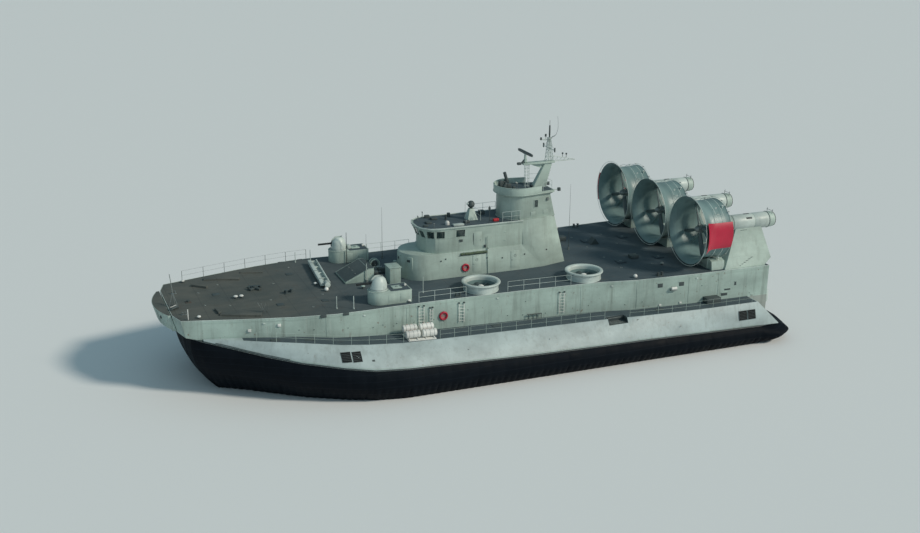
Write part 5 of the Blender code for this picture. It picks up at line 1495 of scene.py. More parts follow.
def build_afterdeck():
    shape = Shape(DARK, WHITE, STEEL, PALE, DECK, HULL)
    wedge = ((-7.15, 0), (-7.62, 0), (-7.38, 0.30))
    shape.skin([[(x, y, DECK_TOP + up) for x, up in wedge] for y in (-1.55, -1.15)])
    shape.crates([(-6.3, -5.9, -2.6, -2.2, 0.22, 0.03), (-8.3, -7.9, 1.25, 1.65, 0.16, 0.03)])
    mushroom(shape, -8.84, 2.91, 0.09, 0.14, 2)
    bollards(shape, -7.9, 4.28, 0.22, 0.05, 0.05)
    bollards(shape, -7.9, -4.28, 0.22, 0.05, -0.05)
    bollards(shape, -1.9, -3.78, 0.20, 0.045)
    bollards(shape, 1.98, 3.62, 0.18, 0.040)
    for side in (1, -1):
        shape.use(1).ball((-6.66, side * 4.16, DECK_TOP + 0.09), 0.10, 0.95, 10)
        low, high = Vector((-10.35, side * 3.6, DECK_TOP + 0.16)), Vector((-11.05, side * 4.17, DECK_TOP + 0.16))
        shape.use(2).rod(low, high, 0.018, 8)
        shape.posts([(*low.lerp(high, share).xy, 0.16, 0.012, 6) for share in (0.05, 0.5, 0.95)])
        y = side * 4.30
        shape.use(3).posts([(-11.02, y, 0.42, 0.022, 8)])
        shape.block((-11.08, y - 0.07, DECK_TOP + 0.34), (-10.96, y + 0.07, DECK_TOP + 0.46), 0.02)
        y = side * 1.8
        for x in (-9.3, -7.2, -5.4):
            shape.use(4).crates([(x - 0.22, x + 0.22, y - 0.22, y + 0.22, 0.05, 0.02)])
            shape.use(2).eyes([(x, y)], DECK_TOP + 0.055, 0.05)
    shape.eyes([(x, y) for y in (-2.6, -0.9, 0.9, 2.6) for x in (-8.5, -6.8)], DECK_TOP + 0.004)
    shape.done("afterdeck_gear")


# Deckhouse, bridge and tower

HOUSE_HALF, HOUSE_LEAN, HOUSE_FRONT_X = 1.18, 0.074, 2.376
TOWER_AFT_X, TOWER_AFT_LEAN = -4.70, 0.245
TOWER_X, TOWER_HALF, TOWER_AFT_HALF = -2.40, 0.946, 0.681
CANVAS_TIES = (0.70, 0.18, -0.30)
# The bridge's side wall, as height and half-width
BRIDGE_WALL = ((4.704, 1.06), (5.36, 1.03), (5.78, 1.08), (5.832, 1.08))


def bridge_outline(half, front, aft):
    port = [(front, half * 0.30), (front - 0.14, half * 0.66), (front - 0.48, half * 0.92), (front - 0.95, half)]
    port.append((aft, half))
    return port + [(x, -y) for x, y in reversed(port)]


def aft_edge(z):
    """Where the house and the tower end aft at a height."""
    return TOWER_AFT_X + (z - DECK_TOP) * TOWER_AFT_LEAN


def house_wall(x, z):
    """The house's port side at a place."""
    full = HOUSE_HALF - (z - DECK_TOP) * HOUSE_LEAN
    rows = [(HOUSE_FRONT_X, full), (-2.2, full), (-3.4, full * 0.94), (aft_edge(z), full * 0.64)]
    for (x1, y1), (x2, y2) in zip(rows, rows[1:]):
        if x >= x2:
            return y1 + (y2 - y1) * (x1 - x) / (x1 - x2)
    return rows[-1][1]


def house_place(x, z):
    """Local axes on the house's port side: X forward along it, Y out of it, Z up."""
    near, far = house_wall(x - 0.05, z), house_wall(x + 0.05, z)
    along = Vector((0.1, far - near, 0)).normalized()
    out = Vector((-along.y, along.x, HOUSE_LEAN)).normalized()
    return framed(along, out, along.cross(out), (x, house_wall(x, z), z))


def bridge_place(x, z):
    """The bridge's port side wall at a place."""
    y = BRIDGE_WALL[-1][1]
    for (z1, y1), (z2, y2) in zip(BRIDGE_WALL, BRIDGE_WALL[1:]):
        if z1 <= z <= z2:
            y = y1 + (y2 - y1) * (z - z1) / (z2 - z1)
    return Matrix.Translation((x, y, z))


def build_house_fittings():
    """Lamps, life ring, doors, canvas shelf, down pipe and the plates round the house's front."""
    shape = Shape(DARK, WHITE, RED, PINK, STEEL, HOUSE, OLIVE)
    for x, z in ((1.82, 4.36), (1.59, 4.43), (-0.47, 4.27), (-1.25, 4.19), (-2.40, 4.24), (-3.6, 4.30)):
        shape.use(0).plate(house_place(x, z), 0.028, 0.03, 0.028, 0.008, 0.004)
    life_ring(shape, house_place(0.63, 3.93), 0.150, 0.040)
    for x, wide in ((-1.9, 0.22), (0.05, 0.20)):
        place = house_place(x, 4.05)
        shape.use(5).plate(place, wide, 0.016, 0.40, 0.012, 0.004)
        shape.use(4).rod(place @ Vector((wide * 0.75, 0.012, 0.0)), place @ Vector((wide * 0.75, 0.05, 0.0)), 0.014, 8)
        shape.use(0).hoop(place @ Vector((0, 0.016, 0.18)), 0.055, 0.008, "Y", 18, 6)
    shape.use(4)
    for x in CANVAS_TIES:
        shape.hoop((x, 1.122, 4.585), 0.070, 0.008, "X", 18, 6)
    shape.tube([(0.95, 1.11, 4.50), (-0.55, 1.11, 4.50)], 0.014, 8)
    for x in (0.9, 0.2, -0.5):
        shape.rod((x, 1.07, 4.50), (x, 1.12, 4.50), 0.012, 6)
    shape.use(0).plate(bridge_place(0.81, 5.22), 0.075, 0.05, 0.055, 0.012, 0.004)
    shape.plate(bridge_place(-0.38, 4.84), 0.05, 0.07, 0.06, 0.012, 0.004)
    place = bridge_place(-0.02, 5.16)
    shape.use(5).plate(place, 0.20, 0.014, 0.40, 0.012, 0.006)
    shape.use(0).block((0.205, -0.004, -0.41), (0.222, 0.010, 0.41), 0.003, place)
    shape.use(4).rod(place @ Vector((-0.14, 0.012, 0)), place @ Vector((-0.14, 0.05, 0)), 0.014, 8)
    pipe = [(-0.50, 1.10, 5.30), (-0.50, 1.12, 4.72), (-0.50, 1.15, 4.55), (-0.50, 1.20, DECK_TOP + 0.02)]
    shape.use(5).tube(pipe, 0.018, 8)
    shape.use(0).rod((-0.50, 1.10, 4.74), (-0.50, 1.18, 4.74), 0.02, 8)
    shape.use(5)
    for x, z in ((0.2, 4.71), (-1.4, 5.4), (-1.4, 5.0)):
        shape.block((-0.06, -0.004, -0.004), (0.06, 0.018, 0.012), 0.004, bridge_place(x, z))
    shape.mirror()
    for degrees in (-38, 0, 38):
        angle = math.radians(degrees)
        out = Vector((math.cos(angle), math.sin(angle), 0.05)) * 1.13
        turn = turned_to(Vector((HOUSE_FRONT_X - 0.02, 0, 4.18)) + out, angle)
        shape.use(5).block((-0.04, -0.20, -0.34), (0.014, 0.20, 0.34), 0.012, turn)
        shape.use(0).block((0.0, -0.09, 0.10), (0.020, 0.09, 0.22), 0.01, turn)
    shape.done("house_fittings")


CANVAS_LINE = (
    (0.86, 1.128, 4.575), (0.62, 1.134, 4.582), (0.34, 1.130, 4.572),
    (0.05, 1.134, 4.582), (-0.20, 1.130, 4.574), (-0.46, 1.126, 4.578),
)


def build_canvas_roll():
    """A roll of green canvas that lies on its shelf against the house, drawn in by its ties."""
    line = smooth_line(CANVAS_LINE, 8)
    for name, side in SIDES.items():
        rings = []
        for i, (x, y, z) in enumerate(line):
            pinch = min(abs(x - tie) for tie in CANVAS_TIES)
            radius = 0.060 - 0.012 * math.exp(-((pinch / 0.04) ** 2))
            if i in (0, len(line) - 1):
                radius *= 0.6
            ring = []
            for c, s in circle(20):
                reach = radius * (1 + 0.07 * noise.noise(Vector((x * 5, c * 1.5, s * 1.5))))
                ring.append((x, side * (y + reach * c), z + reach * s))
            rings.append(ring)
        shape = Shape(OLIVE).skin(rings)
        shape.done(f"canvas_roll_{name}", angle=60)


def build_bridge_glass():
    shape = Shape(GLASS, SEAL, HOUSE, STEEL)
    thick, inset = 0.006, 0.022
    outer, inner = [], []
    for z in (5.385, 5.755):
        share = (z - 5.36) / 0.42
        outline = bridge_outline(1.03 + 0.05 * share - inset, 2.52 + 0.19 * share - inset, -0.2)
        outer.append([(x, y, z) for x, y in outline])
        inner.append([(x - thick, y * (1 - thick / 1.06), z) for x, y in outline])
    shape.skin(outer + inner[::-1], looped=True)
    shape.use(3)
    for y in (-0.13, 0.13):
        shape.rod((2.60, y, 5.40), (2.665, y + 0.05, 5.60), 0.006, 6)
    shape.done("bridge_glass")
    shape = Shape(HOUSE, DARK, STEEL)
    for z, half, front in ((5.392, 1.036, 2.53), (5.752, 1.079, 2.70)):
        shape.tube([(x + 0.004, y * 1.003, z) for x, y in bridge_outline(half, front, 0.5)], 0.009, 6)
    shape.done("window_rims")


# Dark lockers and pedestals on the bridge roof: x range, y range, height and edge
ROOF_CRATES = (
    (0.20, 0.46, 0.42, 0.62, 0.12, 0.02),
    (1.42, 1.72, -0.66, -0.40, 0.10, 0.03),
    (1.66, 1.90, -0.96, -0.80, 0.14, 0.02),
    (1.90, 2.16, -0.16, 0.16, 0.08, 0.02),
    (2.20, 2.42, 0.36, 0.50, 0.07, 0.02),
    (-1.02, -0.76, -0.74, -0.48, 0.20, 0.03),
)
ROOF_LAMPS = ((2.35, -0.55, 0.22), (2.05, 0.80, 0.20), (0.50, 0.88, 0.20), (2.0, -0.9, 0.3))


def build_roof():
    """Roof paint and rim, dome, lockers, lamps, aerials and rails of the bridge roof."""
    shape = Shape(DECK, WHITE, DARK, STEEL, PALE, ORANGE, HOUSE)
    edge = [(x + (0.05 if x > 0 else 0), y * 1.04) for x, y in bridge_outline(1.08, 2.71, -2.30)]
    centre = Vector((0.2, 0))
    inner = [tuple(centre + (Vector(p) - centre) * 0.955) for p in edge]
    shape.slab(inner, ROOF_TOP - SINK, ROOF_TOP + 0.006)
    rim = [(x * 0.995, y * 0.99, ROOF_TOP + 0.012) for x, y in edge[:5]]
    shape.use(4).tube(rim[::-1] + mirrored(rim), 0.024, 8)
    dome = [(0, 0.20), (0.06, 0.185), (0.095, 0.14), (0.105, 0.08), (0.105, 0.0), (0, 0.0)]
    shape.use(1).turned(dome, (1.29, 0.52, ROOF_TOP), steps=24)
    shape.use(4).crates([(0.60, 1.12, 0.70, 0.92, 0.09, 0.02)], ROOF_TOP)
    shape.use(2).crates(ROOF_CRATES, ROOF_TOP)
    shape.posts([(1.05, -0.30, 0.24, 0.05, 14), (0.75, -0.72, 0.19, 0.08, 16)], ROOF_TOP, 0)
    shape.posts([(-0.68, 0.84, 0.80, 0.014, 8)], ROOF_TOP)
    shape.block((-0.73, 0.80, ROOF_TOP + 0.62), (-0.63, 0.88, ROOF_TOP + 0.74), 0.02)
    shape.use(3)
    for x, y, height in ROOF_LAMPS:
        shape.posts([(x, y, height, 0.016, 8)], ROOF_TOP)
        shape.ball((x, y, ROOF_TOP + height), 0.034, 1, 8)
    shape.rod((0.32, 0.30, ROOF_TOP), (0.32, 0.30, ROOF_TOP + 0.95), 0.009, 6, 0.005)
    feet = [(-0.42, 0.40, ROOF_TOP), (-0.42, -0.40, ROOF_TOP), (-0.42, -0.88, ROOF_TOP), (-1.75, -0.94, ROOF_TOP)]
    shape.use(4).rail(feet, 0.46, HALF_BARS, 0.007, 0.010, 0.7)
    shape.rail([(-1.30, 0.96, ROOF_TOP), (-2.20, 0.96, ROOF_TOP)], 0.46, HALF_BARS, 0.007, 0.010, 0.45)
    shape.use(5).crates([(-1.20, -0.92, 0.64, 0.80, 0.13, 0.03)], ROOF_TOP)
    shape.done("roof_gear")


def tower_outline(z, extra):
    """The tower's plan at a height, grown by a margin."""
    radius, half = TOWER_HALF + extra, TOWER_AFT_HALF + extra
    front = [(TOWER_X + radius * c, radius * s) for c, s in half_circle(24)]
    aft = aft_edge(z) - extra
    return front + [(aft, half), (aft, -half)]


def tower_place(x, z):
    """Local axes on the tower's port side: X forward along it, Y out of it, Z up."""
    length, fall = TOWER_X - aft_edge(z), TOWER_HALF - TOWER_AFT_HALF
    along = Vector((length, fall, 0)).normalized()
    y = TOWER_HALF - fall * (TOWER_X - x) / length
    return framed(along, Vector((-along.y, along.x, 0)), Vector((0, 0, 1)), (x, y, z))


# Dark gear on the tower's platform: x, y, half-width and height
PLATFORM_GEAR = (
    (-1.66, 0.34, 0.07, 0.33), (-1.74, -0.34, 0.09, 0.36), (-1.98, 0.62, 0.07, 0.30),
    (-2.2, -0.70, 0.10, 0.30), (-2.05, -0.15, 0.12, 0.24), (-1.58, 0.02, 0.05, 0.42),
)
PLATFORM_RIM_Z = 6.936


def build_tower_fittings():
    """Window, lamp and plates on the sides, then the platform's floor, beads, rails and gear."""
    shape = Shape(DECK, HOUSE, DARK, STEEL, GLASS, PALE)
    top = PLATFORM_TOP
    place = tower_place(-3.06, 6.57)
    shape.use(1).plate(place, 0.125, 0.016, 0.20, 0.012, 0.004)
    shape.use(4).plate(place, 0.095, 0.022, 0.17, 0.02, 0.004)
    lamp = [(0, 0.10), (0.055, 0.09), (0.075, 0.05), (0.075, -0.01), (0, -0.01)]
    shape.use(3).turned(lamp, (0, 0, 0), "Y", 20, matrix=tower_place(-3.70, 6.72))
    for x in (-2.9, -3.6):
        shape.use(1).plate(tower_place(x, 6.1), 0.14, 0.012, 0.10, 0.008, 0.004)
    # What lies on both sides already comes after the mirror
    shape.mirror()
    shape.use(0).slab(tower_outline(PLATFORM_RIM_Z, 0.092), top - SINK, top + 0.006)
    bead = [(x, y, top - 0.095) for x, y in tower_outline(PLATFORM_RIM_Z, 0.142)]
    shape.use(1).tube(bead, 0.012, 6, closed=True)
    rows = tower_outline(PLATFORM_RIM_Z, 0.120)[:25]
    share = (3.30 - 2.40) / (rows[0][0] + 3.982)
    side_y = 1.066 + (0.801 - 1.066) * share
    edge = [(-3.30, -side_y)] + rows + [(-3.30, side_y)]
    shape.tube([(x, y, BULWARK_TOP) for x, y in edge], 0.024, 8)
    shape.tube([(x, y, ROOF_TOP + 0.004) for x, y in tower_outline(ROOF_TOP, 0.006)], 0.012, 6, closed=True)
    for x, y, half, height in PLATFORM_GEAR:
        shape.use(2).crates([(x - half, x + half, y - half, y + half, height, 0.03)], top)
    shape.use(3).posts([(-1.84, 0.04, 0.40, 0.035, 12), (-2.25, 0.42, 0.36, 0.014, 8)], top, 0)
    shape.rod((-2.25, 0.42, top + 0.36), (-2.15, 0.42, top + 0.42), 0.035, 10)
    shape.use(2).rod((-1.90, 0.04, top + 0.38), (-1.76, 0.04, top + 0.84), 0.075, 16)
    shape.rod((-1.98, 0.04, top + 0.38), (-1.70, 0.04, top + 0.38), 0.03, 10)
    for hand in (1, -1):
        feet = [(-3.40, hand * 0.87, top), (-3.90, hand * 0.74, top), (-3.90, hand * 0.20, top)]
        shape.use(5).rail(feet, 0.42, HALF_BARS, 0.006, 0.008, 0.6)
        y = hand * 0.60
        shape.rod((-4.05, y, top - 0.06), (-4.30, y, top - 0.06), 0.02, 8)
        shape.use(2).block((-4.42, y - 0.06, top - 0.14), (-4.28, y + 0.06, top + 0.02), 0.02)
    shape.done("tower_fittings")


# Mast

MAST_FOOT, MAST_HEAD = PLATFORM_TOP + 0.0006, 8.318
RADAR_X, RADAR_Z = -2.83, 8.85
TOPMAST_X, TOPMAST_FOOT, TOPMAST_TIP, TOPMAST_BAYS = -4.06, 8.36, 9.46, 6
YARD_Z = 8.98
SPAR_END_X = -5.44


def build_mast_body(shape):
    """The raked box mast, its head, bracket and climbing rungs."""
    base, head = MAST_FOOT, MAST_HEAD
    soft = 0.03
    rings = []
    for share in (0.0, 0.02, 0.5, 1.0):
        aft, fore, w = -3.88 - 0.34 * share, -3.20 - 0.63 * share, 0.15 - 0.05 * share
        half = [(aft, -w + soft), (aft + soft, -w), (fore - soft, -w), (fore, -w + soft)]
        rings.append([(x, y, base + (head - base) * share) for x, y in half + [(x, -y) for x, y in reversed(half)]])
    shape.skin(rings)
    shape.block((-4.32, -0.16, head - 0.04), (-2.69, 0.16, head + 0.045), 0.012)
    shape.skin([[(-3.84, y, head - 0.03), (-3.02, y, head - 0.03), (-3.72, y, head - 0.30)] for y in (-0.02, 0.02)])
    shape.use(2).block((-3.40, -0.10, base), (-3.16, 0.10, base + 0.10), 0.02)
    shape.use(3)
    for k in range(9):
        z = base + 0.12 + 0.125 * k
        x = -3.88 - 0.34 * (z - base) / (head - base) - 0.035
        shape.rod((x, -0.08, z), (x, 0.08, z), 0.009, 6)
        for y in (-0.08, 0.08):
            shape.rod((x, y, z), (x + 0.06, y, z), 0.008, 6)
    corners = ((-2.84, 0.07), (-3.02, 0.07), (-3.02, -0.07), (-2.84, -0.07))
    shape.posts([(x, y, head - base, 0.011, 6) for x, y in corners], base)
    for k in range(7):
        z = base + 0.10 + 0.165 * k
        for i, corner in enumerate(corners):
            shape.rod((*corner, z), (*corners[i - 1], z), 0.007, 6)


def build_topmast(shape):
    """The lattice topmast with its yard, lamps, pole and bowed whip."""
    x = TOPMAST_X
    legs = []
    for sx, sy in ((1, 1), (1, -1), (-1, -1), (-1, 1)):
        low = Vector((-4.07 + 0.16 * sx, 0.12 * sy, TOPMAST_FOOT))
        high = Vector((x + 0.055 * sx, 0.05 * sy, TOPMAST_TIP))
        legs.append((low, high))
        shape.use(3).rod(low, high, 0.014, 8)
    for k in range(TOPMAST_BAYS):
        low, high = k / TOPMAST_BAYS, (k + 1) / TOPMAST_BAYS
        for i, (a, b) in enumerate(legs):
            c, d = legs[(i + 1) % 4]
            shape.rod(a.lerp(b, high), c.lerp(d, high), 0.008, 6)
            shape.rod(a.lerp(b, low), c.lerp(d, high), 0.007, 6)
    shape.rod((x, 0, TOPMAST_FOOT), (x, 0, 9.55), 0.022, 8)
    shape.block((x - 0.10, -0.09, 9.44), (x + 0.10, 0.09, 9.475), 0.008)
    shape.tube([(x, -0.62, YARD_Z), (x, 0.62, YARD_Z)], 0.022, 8)
    for y in (-0.60, 0.60):
        shape.use(3).rod((x, y, YARD_Z), (x, y * 0.1, 9.30), 0.006, 6)
        shape.use(2).rod((x, y, 8.90), (x, y, 9.10), 0.034, 10)
        shape.use(3).rod((x, y / 2, 8.96), (x, y / 2, 9.22), 0.009, 6)
    shape.tube([(-4.10, 0, 9.405), (-3.60, 0, 9.405)], 0.020, 8)
    shape.rod((x, 0, 9.30), (-3.72, 0, 9.395), 0.010, 6)
    shape.rod((-3.86, 0, 9.40), (-3.86, 0, 9.56), 0.012, 6)
    shape.use(2)
    for at, z in ((-3.62, 9.45), (-3.86, 9.60)):
        shape.rod((at, 0, z - 0.06), (at, 0, z + 0.06), 0.045, 12)
    shape.rod((x, 0, 9.50), (x, 0, 9.62), 0.035, 12)
    shape.rod((x, 0, 9.60), (x, 0, 10.06), 0.040, 10, 0.034)
    shape.use(1).rod((x, 0, 10.05), (x, 0, 10.30), 0.012, 6)
    whip = [(-4.12, 0.02, 9.46), (-4.34, 0.05, 9.58), (-4.45, 0.06, 9.85), (-4.46, 0.06, 10.15), (-4.43, 0.05, 10.48)]
    shape.tube(smooth_line(whip, 5), 0.011, 6, 0.005)
    shape.rod((-4.10, 0, 9.46), (-4.36, 0.05, 9.60), 0.008, 6)


def build_aft_spar(shape):
    top, root = Vector((SPAR_END_X, 0, 8.34)), Vector((-4.25, 0, 8.62))
    shape.use(3).tube([(-4.22, 0, 8.60), (SPAR_END_X, 0, 8.335)], 0.014, 8)
    for y in (-0.10, 0.10):
        foot, tip = Vector((-4.25, y, 8.34)), Vector((SPAR_END_X, 0, 8.315))
        shape.tube([foot, tip], 0.013, 8)
        for k in range(6):
            shape.rod(foot.lerp(tip, k / 6), root.lerp(top, (k + 0.5) / 6), 0.006, 6)
    shape.use(2)
    for x, z in ((-4.78, 8.50), (-4.98, 8.46)):
        shape.rod((x, 0, z), (x, 0, z + 0.14), 0.012, 6)
        shape.ball((x, 0, z + 0.17), 0.046, 1, 8)


def build_mast():
    shape = Shape(HOUSE, STEEL, DARK, PALE, WHITE)
    build_mast_body(shape)
    shape.use(0).rod((RADAR_X, 0, MAST_HEAD + 0.04), (RADAR_X, 0, 8.72), 0.060, 20)
    shape.rod((RADAR_X, 0, 8.40), (RADAR_X, 0, 8.52), 0.085, 20)
    shape.use(2).skin([[(-2.62, y, 8.36), (-2.90, y, 8.36), (-2.86, y, 8.62)] for y in (-0.05, 0.05)])
    shape.block((-2.62, -0.07, 8.28), (-2.42, 0.07, 8.40), 0.03)
    build_topmast(shape)
    build_aft_spar(shape)
    shape.done("mast_and_spars", node="mast")


def build_director():
    shape = Shape(PALE, DARK, STEEL)
    centre, radius = (-0.10, 0, 6.60), 0.17
    angles = [math.radians(90 - 152 * k / 21) for k in range(1, 22)]
    profile = [(0, radius)] + [(radius * math.cos(a), radius * math.sin(a)) for a in angles]
    shape.use(1).turned(profile + [(0.07, -0.199), (0, -0.199)], centre, steps=40)
    shape.use(2).hoop(centre, 0.169, 0.006, "Z", 40, 6)
    shape.use(0).rod((0.04, 0, 6.63), (0.10, 0, 6.645), 0.06, 20)
    shape.done("director_ball", "director_head", "director_head")


def build_radar():
    shape = Shape(DARK, PALE, STEEL)
    x, z = RADAR_X, RADAR_Z
    rings = []
    for k in range(9):
        w, h = (0.050, 0.066) if 0 < k < 8 else (0.040, 0.055)
        half = [(w, -h * 0.6), (w, h * 0.6), (w * 0.6, h)]
        section = half + [(-u, v) for u, v in reversed(half)] + [(-w * 0.6, -h), (w * 0.6, -h)]
        rings.append([(x + u, -0.75 + 1.5 * k / 8, z + v) for u, v in section])
    shape.skin(rings)
    shape.use(2)
    for k in range(-6, 7):
        y = k * 0.11
        shape.block((x + 0.048, y - 0.006, z - 0.045), (x + 0.054, y + 0.006, z + 0.045))
    shape.use(1).rod((x, 0, z - 0.129), (x, 0, z - 0.05), 0.055, 20)
    shape.block((x - 0.06, -0.16, z - 0.075), (x + 0.06, 0.16, z - 0.045), 0.01)
    shape.done("radar_bar", "radar_antenna", "radar_antenna")


# Guns

GUN_HOUSE_TOP = 4.098
GUN_HOUSE_AFT, GUN_HOUSE_HALF = 4.155, 0.45


def build_gun(name, y):
    """Six barrels in three clamps, on the receiver and its trunnion."""
    z = TRUNNION_Z
    shape = Shape(GUNMETAL, STEEL, DARK)
    shape.block((GUN_X - 0.10, y - 0.085, z - 0.09), (GUN_X + 0.26, y + 0.085, z + 0.09), 0.015)
    shape.rod((GUN_X, y - 0.0902, z), (GUN_X, y + 0.0902, z), 0.05, 24)
    sleeve = [(0, 0.20), (0.068, 0.20), (0.068, 0.30), (0.055, 0.33), (0.052, 0.40), (0, 0.40)]
    shape.turned(sleeve, (GUN_X, y, z), "X", 24)
    barrel = [(0.0165, 0), (0.0165, 0.635), (0.0105, 0.635), (0.0105, 0.56), (0, 0.56), (0, 0)]
    for c, s in circle(6):
        shape.turned(barrel, (GUN_X + 0.36, y + 0.030 * c, z + 0.030 * s), "X", 12, True)
    for reach in (0.50, 0.72, 0.93):
        clamp = [(0.050, reach), (0.050, reach + 0.022), (0, reach + 0.022), (0, reach)]
        shape.turned(clamp, (GUN_X, y, z), "X", 24, True)
    shape.done(f"rotary_gun_{name}", f"gun_{name}", f"gun_{name}")


def build_gun_house(name, y):
    """Deck patch, hatch, rings, side plates and top bead of a gun house."""
    shape = Shape(HOUSE, STEEL, DARK, DECK, WHITE, PALE)
    top, half = GUN_HOUSE_TOP, GUN_HOUSE_HALF
    shape.use(3).block((GUN_HOUSE_AFT, y - half, top - SINK), (GUN_X - 0.42, y + half, top + 0.005))
    shape.use(0).block((4.46, y - 0.20, top), (4.88, y + 0.20, top + 0.035), 0.012)
    shape.use(1).rod((4.50, y - 0.10, top + 0.04), (4.50, y + 0.10, top + 0.04), 0.012, 6)
    shape.use(2).eyes([(4.67, y)], top + 0.038, 0.05, 0.008)
    shape.use(4).block((4.19, y - 0.12, top), (4.29, y - 0.03, top + 0.09), 0.02)
    shape.use(1).eyes([(GUN_X, y)], top, 0.44, 0.009, 48)
    for hand in (1, -1):
        wall = y + hand * 0.485
        for x in (4.5, 5.05):
            shape.use(0).block((x - 0.15, wall - 0.004, 3.62), (x + 0.15, wall + 0.008, 3.98), 0.008)
        shape.use(1).rod((4.62, wall, 3.80), (4.62, wall + hand * 0.03, 3.80), 0.012, 6)
    edge = [(4.12, y - 0.485)] + [(GUN_X + 0.485 * c, y + 0.485 * s) for c, s in half_circle(24)] + [(4.12, y + 0.485)]
    shape.use(0).tube([(x, v, top - 0.006) for x, v in edge], 0.010, 6, closed=True)
    if y < 0:
        shape.use(5).block((4.90, y - 0.16, top), (5.06, y + 0.16, top + 0.16), 0.02)
    shape.done(f"gun_house_fittings_{name}")


def build_turret_fittings(name, y):
    shape = Shape(PALE, STEEL, DARK)
    for angle in (120, 180, 240):
        turn = turned_to((GUN_X, y, 0), math.radians(angle))
        shape.block((0.355, -0.06, 4.20), (0.372, 0.06, 4.34), 0.006, turn)
    shape.use(1).eyes([(GUN_X, y)], 4.165, 0.385, 0.008, 48)
    shape.eyes([(GUN_X - 0.16, y)], 4.735, 0.04, 0.007, 14)
    shape.done(f"turret_fittings_{name}", f"turret_{name}")


# Gangway, rafts and stern


def build_gangway_details():
    """Rungs in the stowed gangway's trough, its lashings and the drum's rims."""
    shape = Shape(DARK, STEEL, WHITE)
    seat = turned_to((6.60, -2.95, DECK_TOP), math.radians(-5))
    for k in range(22):
        y = 0.10 + 0.15 * k
        shape.block((0.055, y, 0.118), (0.285, y + 0.02, 0.135), 0.004, seat)
    lashing = ((-0.03, 0.0), (-0.02, 0.23), (0.0, 0.255), (0.44, 0.255), (0.46, 0.23), (0.47, 0.0))
    shape.use(1)
    for y in (0.5, 1.7, 2.9):
        shape.tube([seat @ Vector((x, y, z)) for x, z in lashing], 0.007, 6)
    for y in (3.36, 3.50, 3.64):
        shape.hoop(seat @ Vector((0.17, y, 0.19)), 0.132, 0.010, "Y", 28, 6)
    shape.use(2).ball(seat @ Vector((0.28, 3.95, 0.10)), 0.10, 0.9, 10)
    shape.use(0).rod(seat @ Vector((0.28, 3.95, -SINK)), seat @ Vector((0.28, 3.95, 0.06)), 0.05, 12)
    shape.done("gangway_details")


RAFT_X, RAFT_Y = (3.74, 4.50), (4.325, 4.735)
RAFT_FALL = 0.25 / 0.86
# Half of the canister's skin, its end cap, and its wide and narrow straps, as (radius, distance along)
RAFT_SKIN = [(0.14, -0.302), (0.1565, -0.302), (0.162, -0.298), (0.162, 0.298), (0.1565, 0.302), (0.14, 0.302)]
RAFT_CAP = ((0.150, 0.300), (0.135, 0.318), (0.08, 0.328), (0, 0.330), (0, 0.29), (0.15, 0.29))
WIDE_STRAP = ((0.160, -0.010), (0.166, -0.008), (0.166, 0.008), (0.160, 0.010))
NARROW_STRAP = ((0.160, -0.008), (0.167, -0.006), (0.167, 0.006), (0.160, 0.008))


def build_raft_details():
    """Red bands, straps and end caps on the raft canisters."""
    shape = Shape(WHITE, ORANGE, STEEL, HOUSE)
    for x in RAFT_X:
        for y in RAFT_Y:
            centre = Vector((x, y, at_station(x, "walk_z") + 0.435 - RAFT_FALL * (y - 4.10)))
            shape.use(0).turned(RAFT_SKIN, centre, "X", 32, True)
            for end in (1, -1):
                shape.turned([(r, along * end) for r, along in RAFT_CAP], centre, "X", 32, True)
            shape.use(2)
            for middle, strap in ((-0.19, WIDE_STRAP), (0.19, WIDE_STRAP), (0, NARROW_STRAP)):
                shape.turned([(r, middle + along) for r, along in strap], centre, "X", 32, True)
            turn = Matrix.Translation(centre) @ Matrix.Rotation(math.radians(38), 4, "X")
            for along in (-0.10, 0.10):
                shape.use(1).block((along - 0.035, -0.045, 0.157), (along + 0.035, 0.045, 0.1655), 0.002, turn)
    shape.mirror()
    shape.done("raft_canister_details")


def build_stern():
    """Fenders, vents, ribs and lamps on the transom, and the ramp's seals."""
    shape = Shape(PALE, STEEL, DARK, HULL, SEAL)
    near = STERN_X + 0.004
    fender = [(0, -0.35), (0.10, -0.30), (0.13, -0.18), (0.13, 0.18), (0.10, 0.30), (0, 0.35)]
    for side in (1, -1):
        y = side * 4.50
        shape.use(0).turned(fender, (-13.81, y, 1.88), "Z", 24)
        shape.use(1).block((-13.75, y - 0.04, 1.78), (STERN_X + SINK, y + 0.04, 1.98), 0.01)
        shape.rod((-13.70, side * 1.85, 3.25), (-13.86, side * 1.80, 3.25), 0.02, 8)
        y = side * 3.2
        for z in (1.45, 2.6, 3.0):
            shape.use(2).block((-13.69, y - 0.16, z - 0.10), (near, y + 0.16, z + 0.10), 0.006)
        for y in (2.1, 2.7, 3.7, 4.3):
            shape.use(3).block((-13.70, side * y - 0.015, 2.10), (near, side * y + 0.015, 3.40), 0.004)
        shape.use(4).block((-13.705, side * 1.66 - 0.03, 2.10), (near, side * 1.66 + 0.03, 3.40), 0.006)
    shape.done("stern_fittings")


build_bow_ramp_ribs()
build_stern_ramp_ribs()
build_bow_fittings()
build_foredeck()
build_deck_rails()
build_midship_gear()
build_afterdeck()
build_house_fittings()
build_canvas_roll()
build_bridge_glass()
build_roof()
build_tower_fittings()
build_mast()
build_director()
build_radar()
for side_name, hand in SIDES.items():
    build_gun(side_name, hand * GUN_Y)
    build_gun_house(side_name, hand * GUN_Y)
    build_turret_fittings(side_name, hand * GUN_Y)
build_gangway_details()
build_raft_details()
build_stern()


# Floor, light and camera

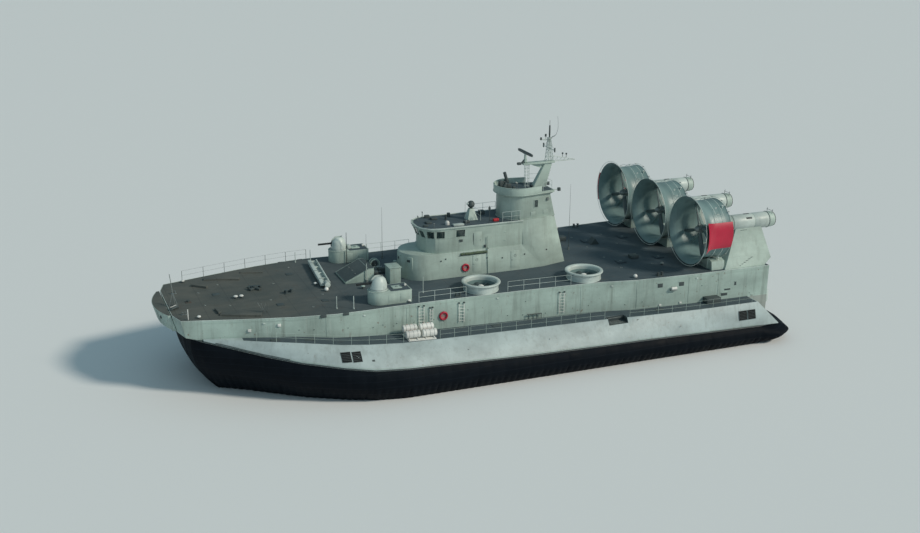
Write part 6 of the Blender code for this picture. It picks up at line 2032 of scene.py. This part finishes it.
FLOOR_HALF = 700
CAMERA_PLACE = (20.173, 48.865, 21.059)
CAMERA_YAW, CAMERA_PITCH, CAMERA_ROLL = -0.384, 0.32, 0.009


def build_floor():
    paper = bpy.data.materials.new("floor_paper")
    paper.use_nodes = True
    shader = paper.node_tree.nodes["Principled BSDF"]
    shader.inputs["Base Color"].default_value = (0.78, 0.80, 0.81, 1)
    shader.inputs["Roughness"].default_value = 0.9
    mesh = bpy.data.meshes.new("floor")
    far = FLOOR_HALF
    mesh.from_pydata([(-far, -far, 0), (far, -far, 0), (far, far, 0), (-far, far, 0)], [], [(0, 1, 2, 3)])
    mesh.materials.append(paper)
    floor = linked("floor", mesh)
    floor.location = (0, 0, -0.003)


def sun(name, towards, strength, colour, angle):
    lamp = bpy.data.lights.new(name, "SUN")
    lamp.energy = strength
    lamp.color = colour
    lamp.angle = math.radians(angle)
    linked(name, lamp).matrix_world = Vector(towards).to_track_quat("Z", "Y").to_matrix().to_4x4()


def build_world():
    world = bpy.data.worlds.new("overcast")
    world.use_nodes = True
    back = world.node_tree.nodes["Background"]
    back.inputs["Color"].default_value = (0.50, 0.76, 0.88, 1)
    back.inputs["Strength"].default_value = 0.34
    bpy.context.scene.world = world


def build_camera():
    """The camera that was fitted to the photo."""
    camera = bpy.data.cameras.new("camera")
    camera.lens = 45.9
    camera.sensor_width = 36
    camera.clip_end = 3000
    yaw, pitch = CAMERA_YAW, CAMERA_PITCH
    forward = Vector((math.sin(yaw) * math.cos(pitch), -math.cos(yaw) * math.cos(pitch), -math.sin(pitch)))
    right = forward.cross(Vector((0, 0, 1))).normalized()
    up = right.cross(forward)
    c, s = math.cos(CAMERA_ROLL), math.sin(CAMERA_ROLL)
    holder = linked("camera", camera)
    holder.matrix_world = framed(c * right + s * up, c * up - s * right, -forward, CAMERA_PLACE)
    bpy.context.scene.camera = holder


build_floor()
build_world()
sun("low_sun", (-0.61, 0.55, 0.57), 2.3, (1.0, 0.92, 0.79), 9)
sun("sky_fill", (0.10, 0.85, 0.60), 0.25, (0.80, 0.93, 1.0), 60)
build_camera()
bpy.context.scene.view_settings.view_transform = "Standard"
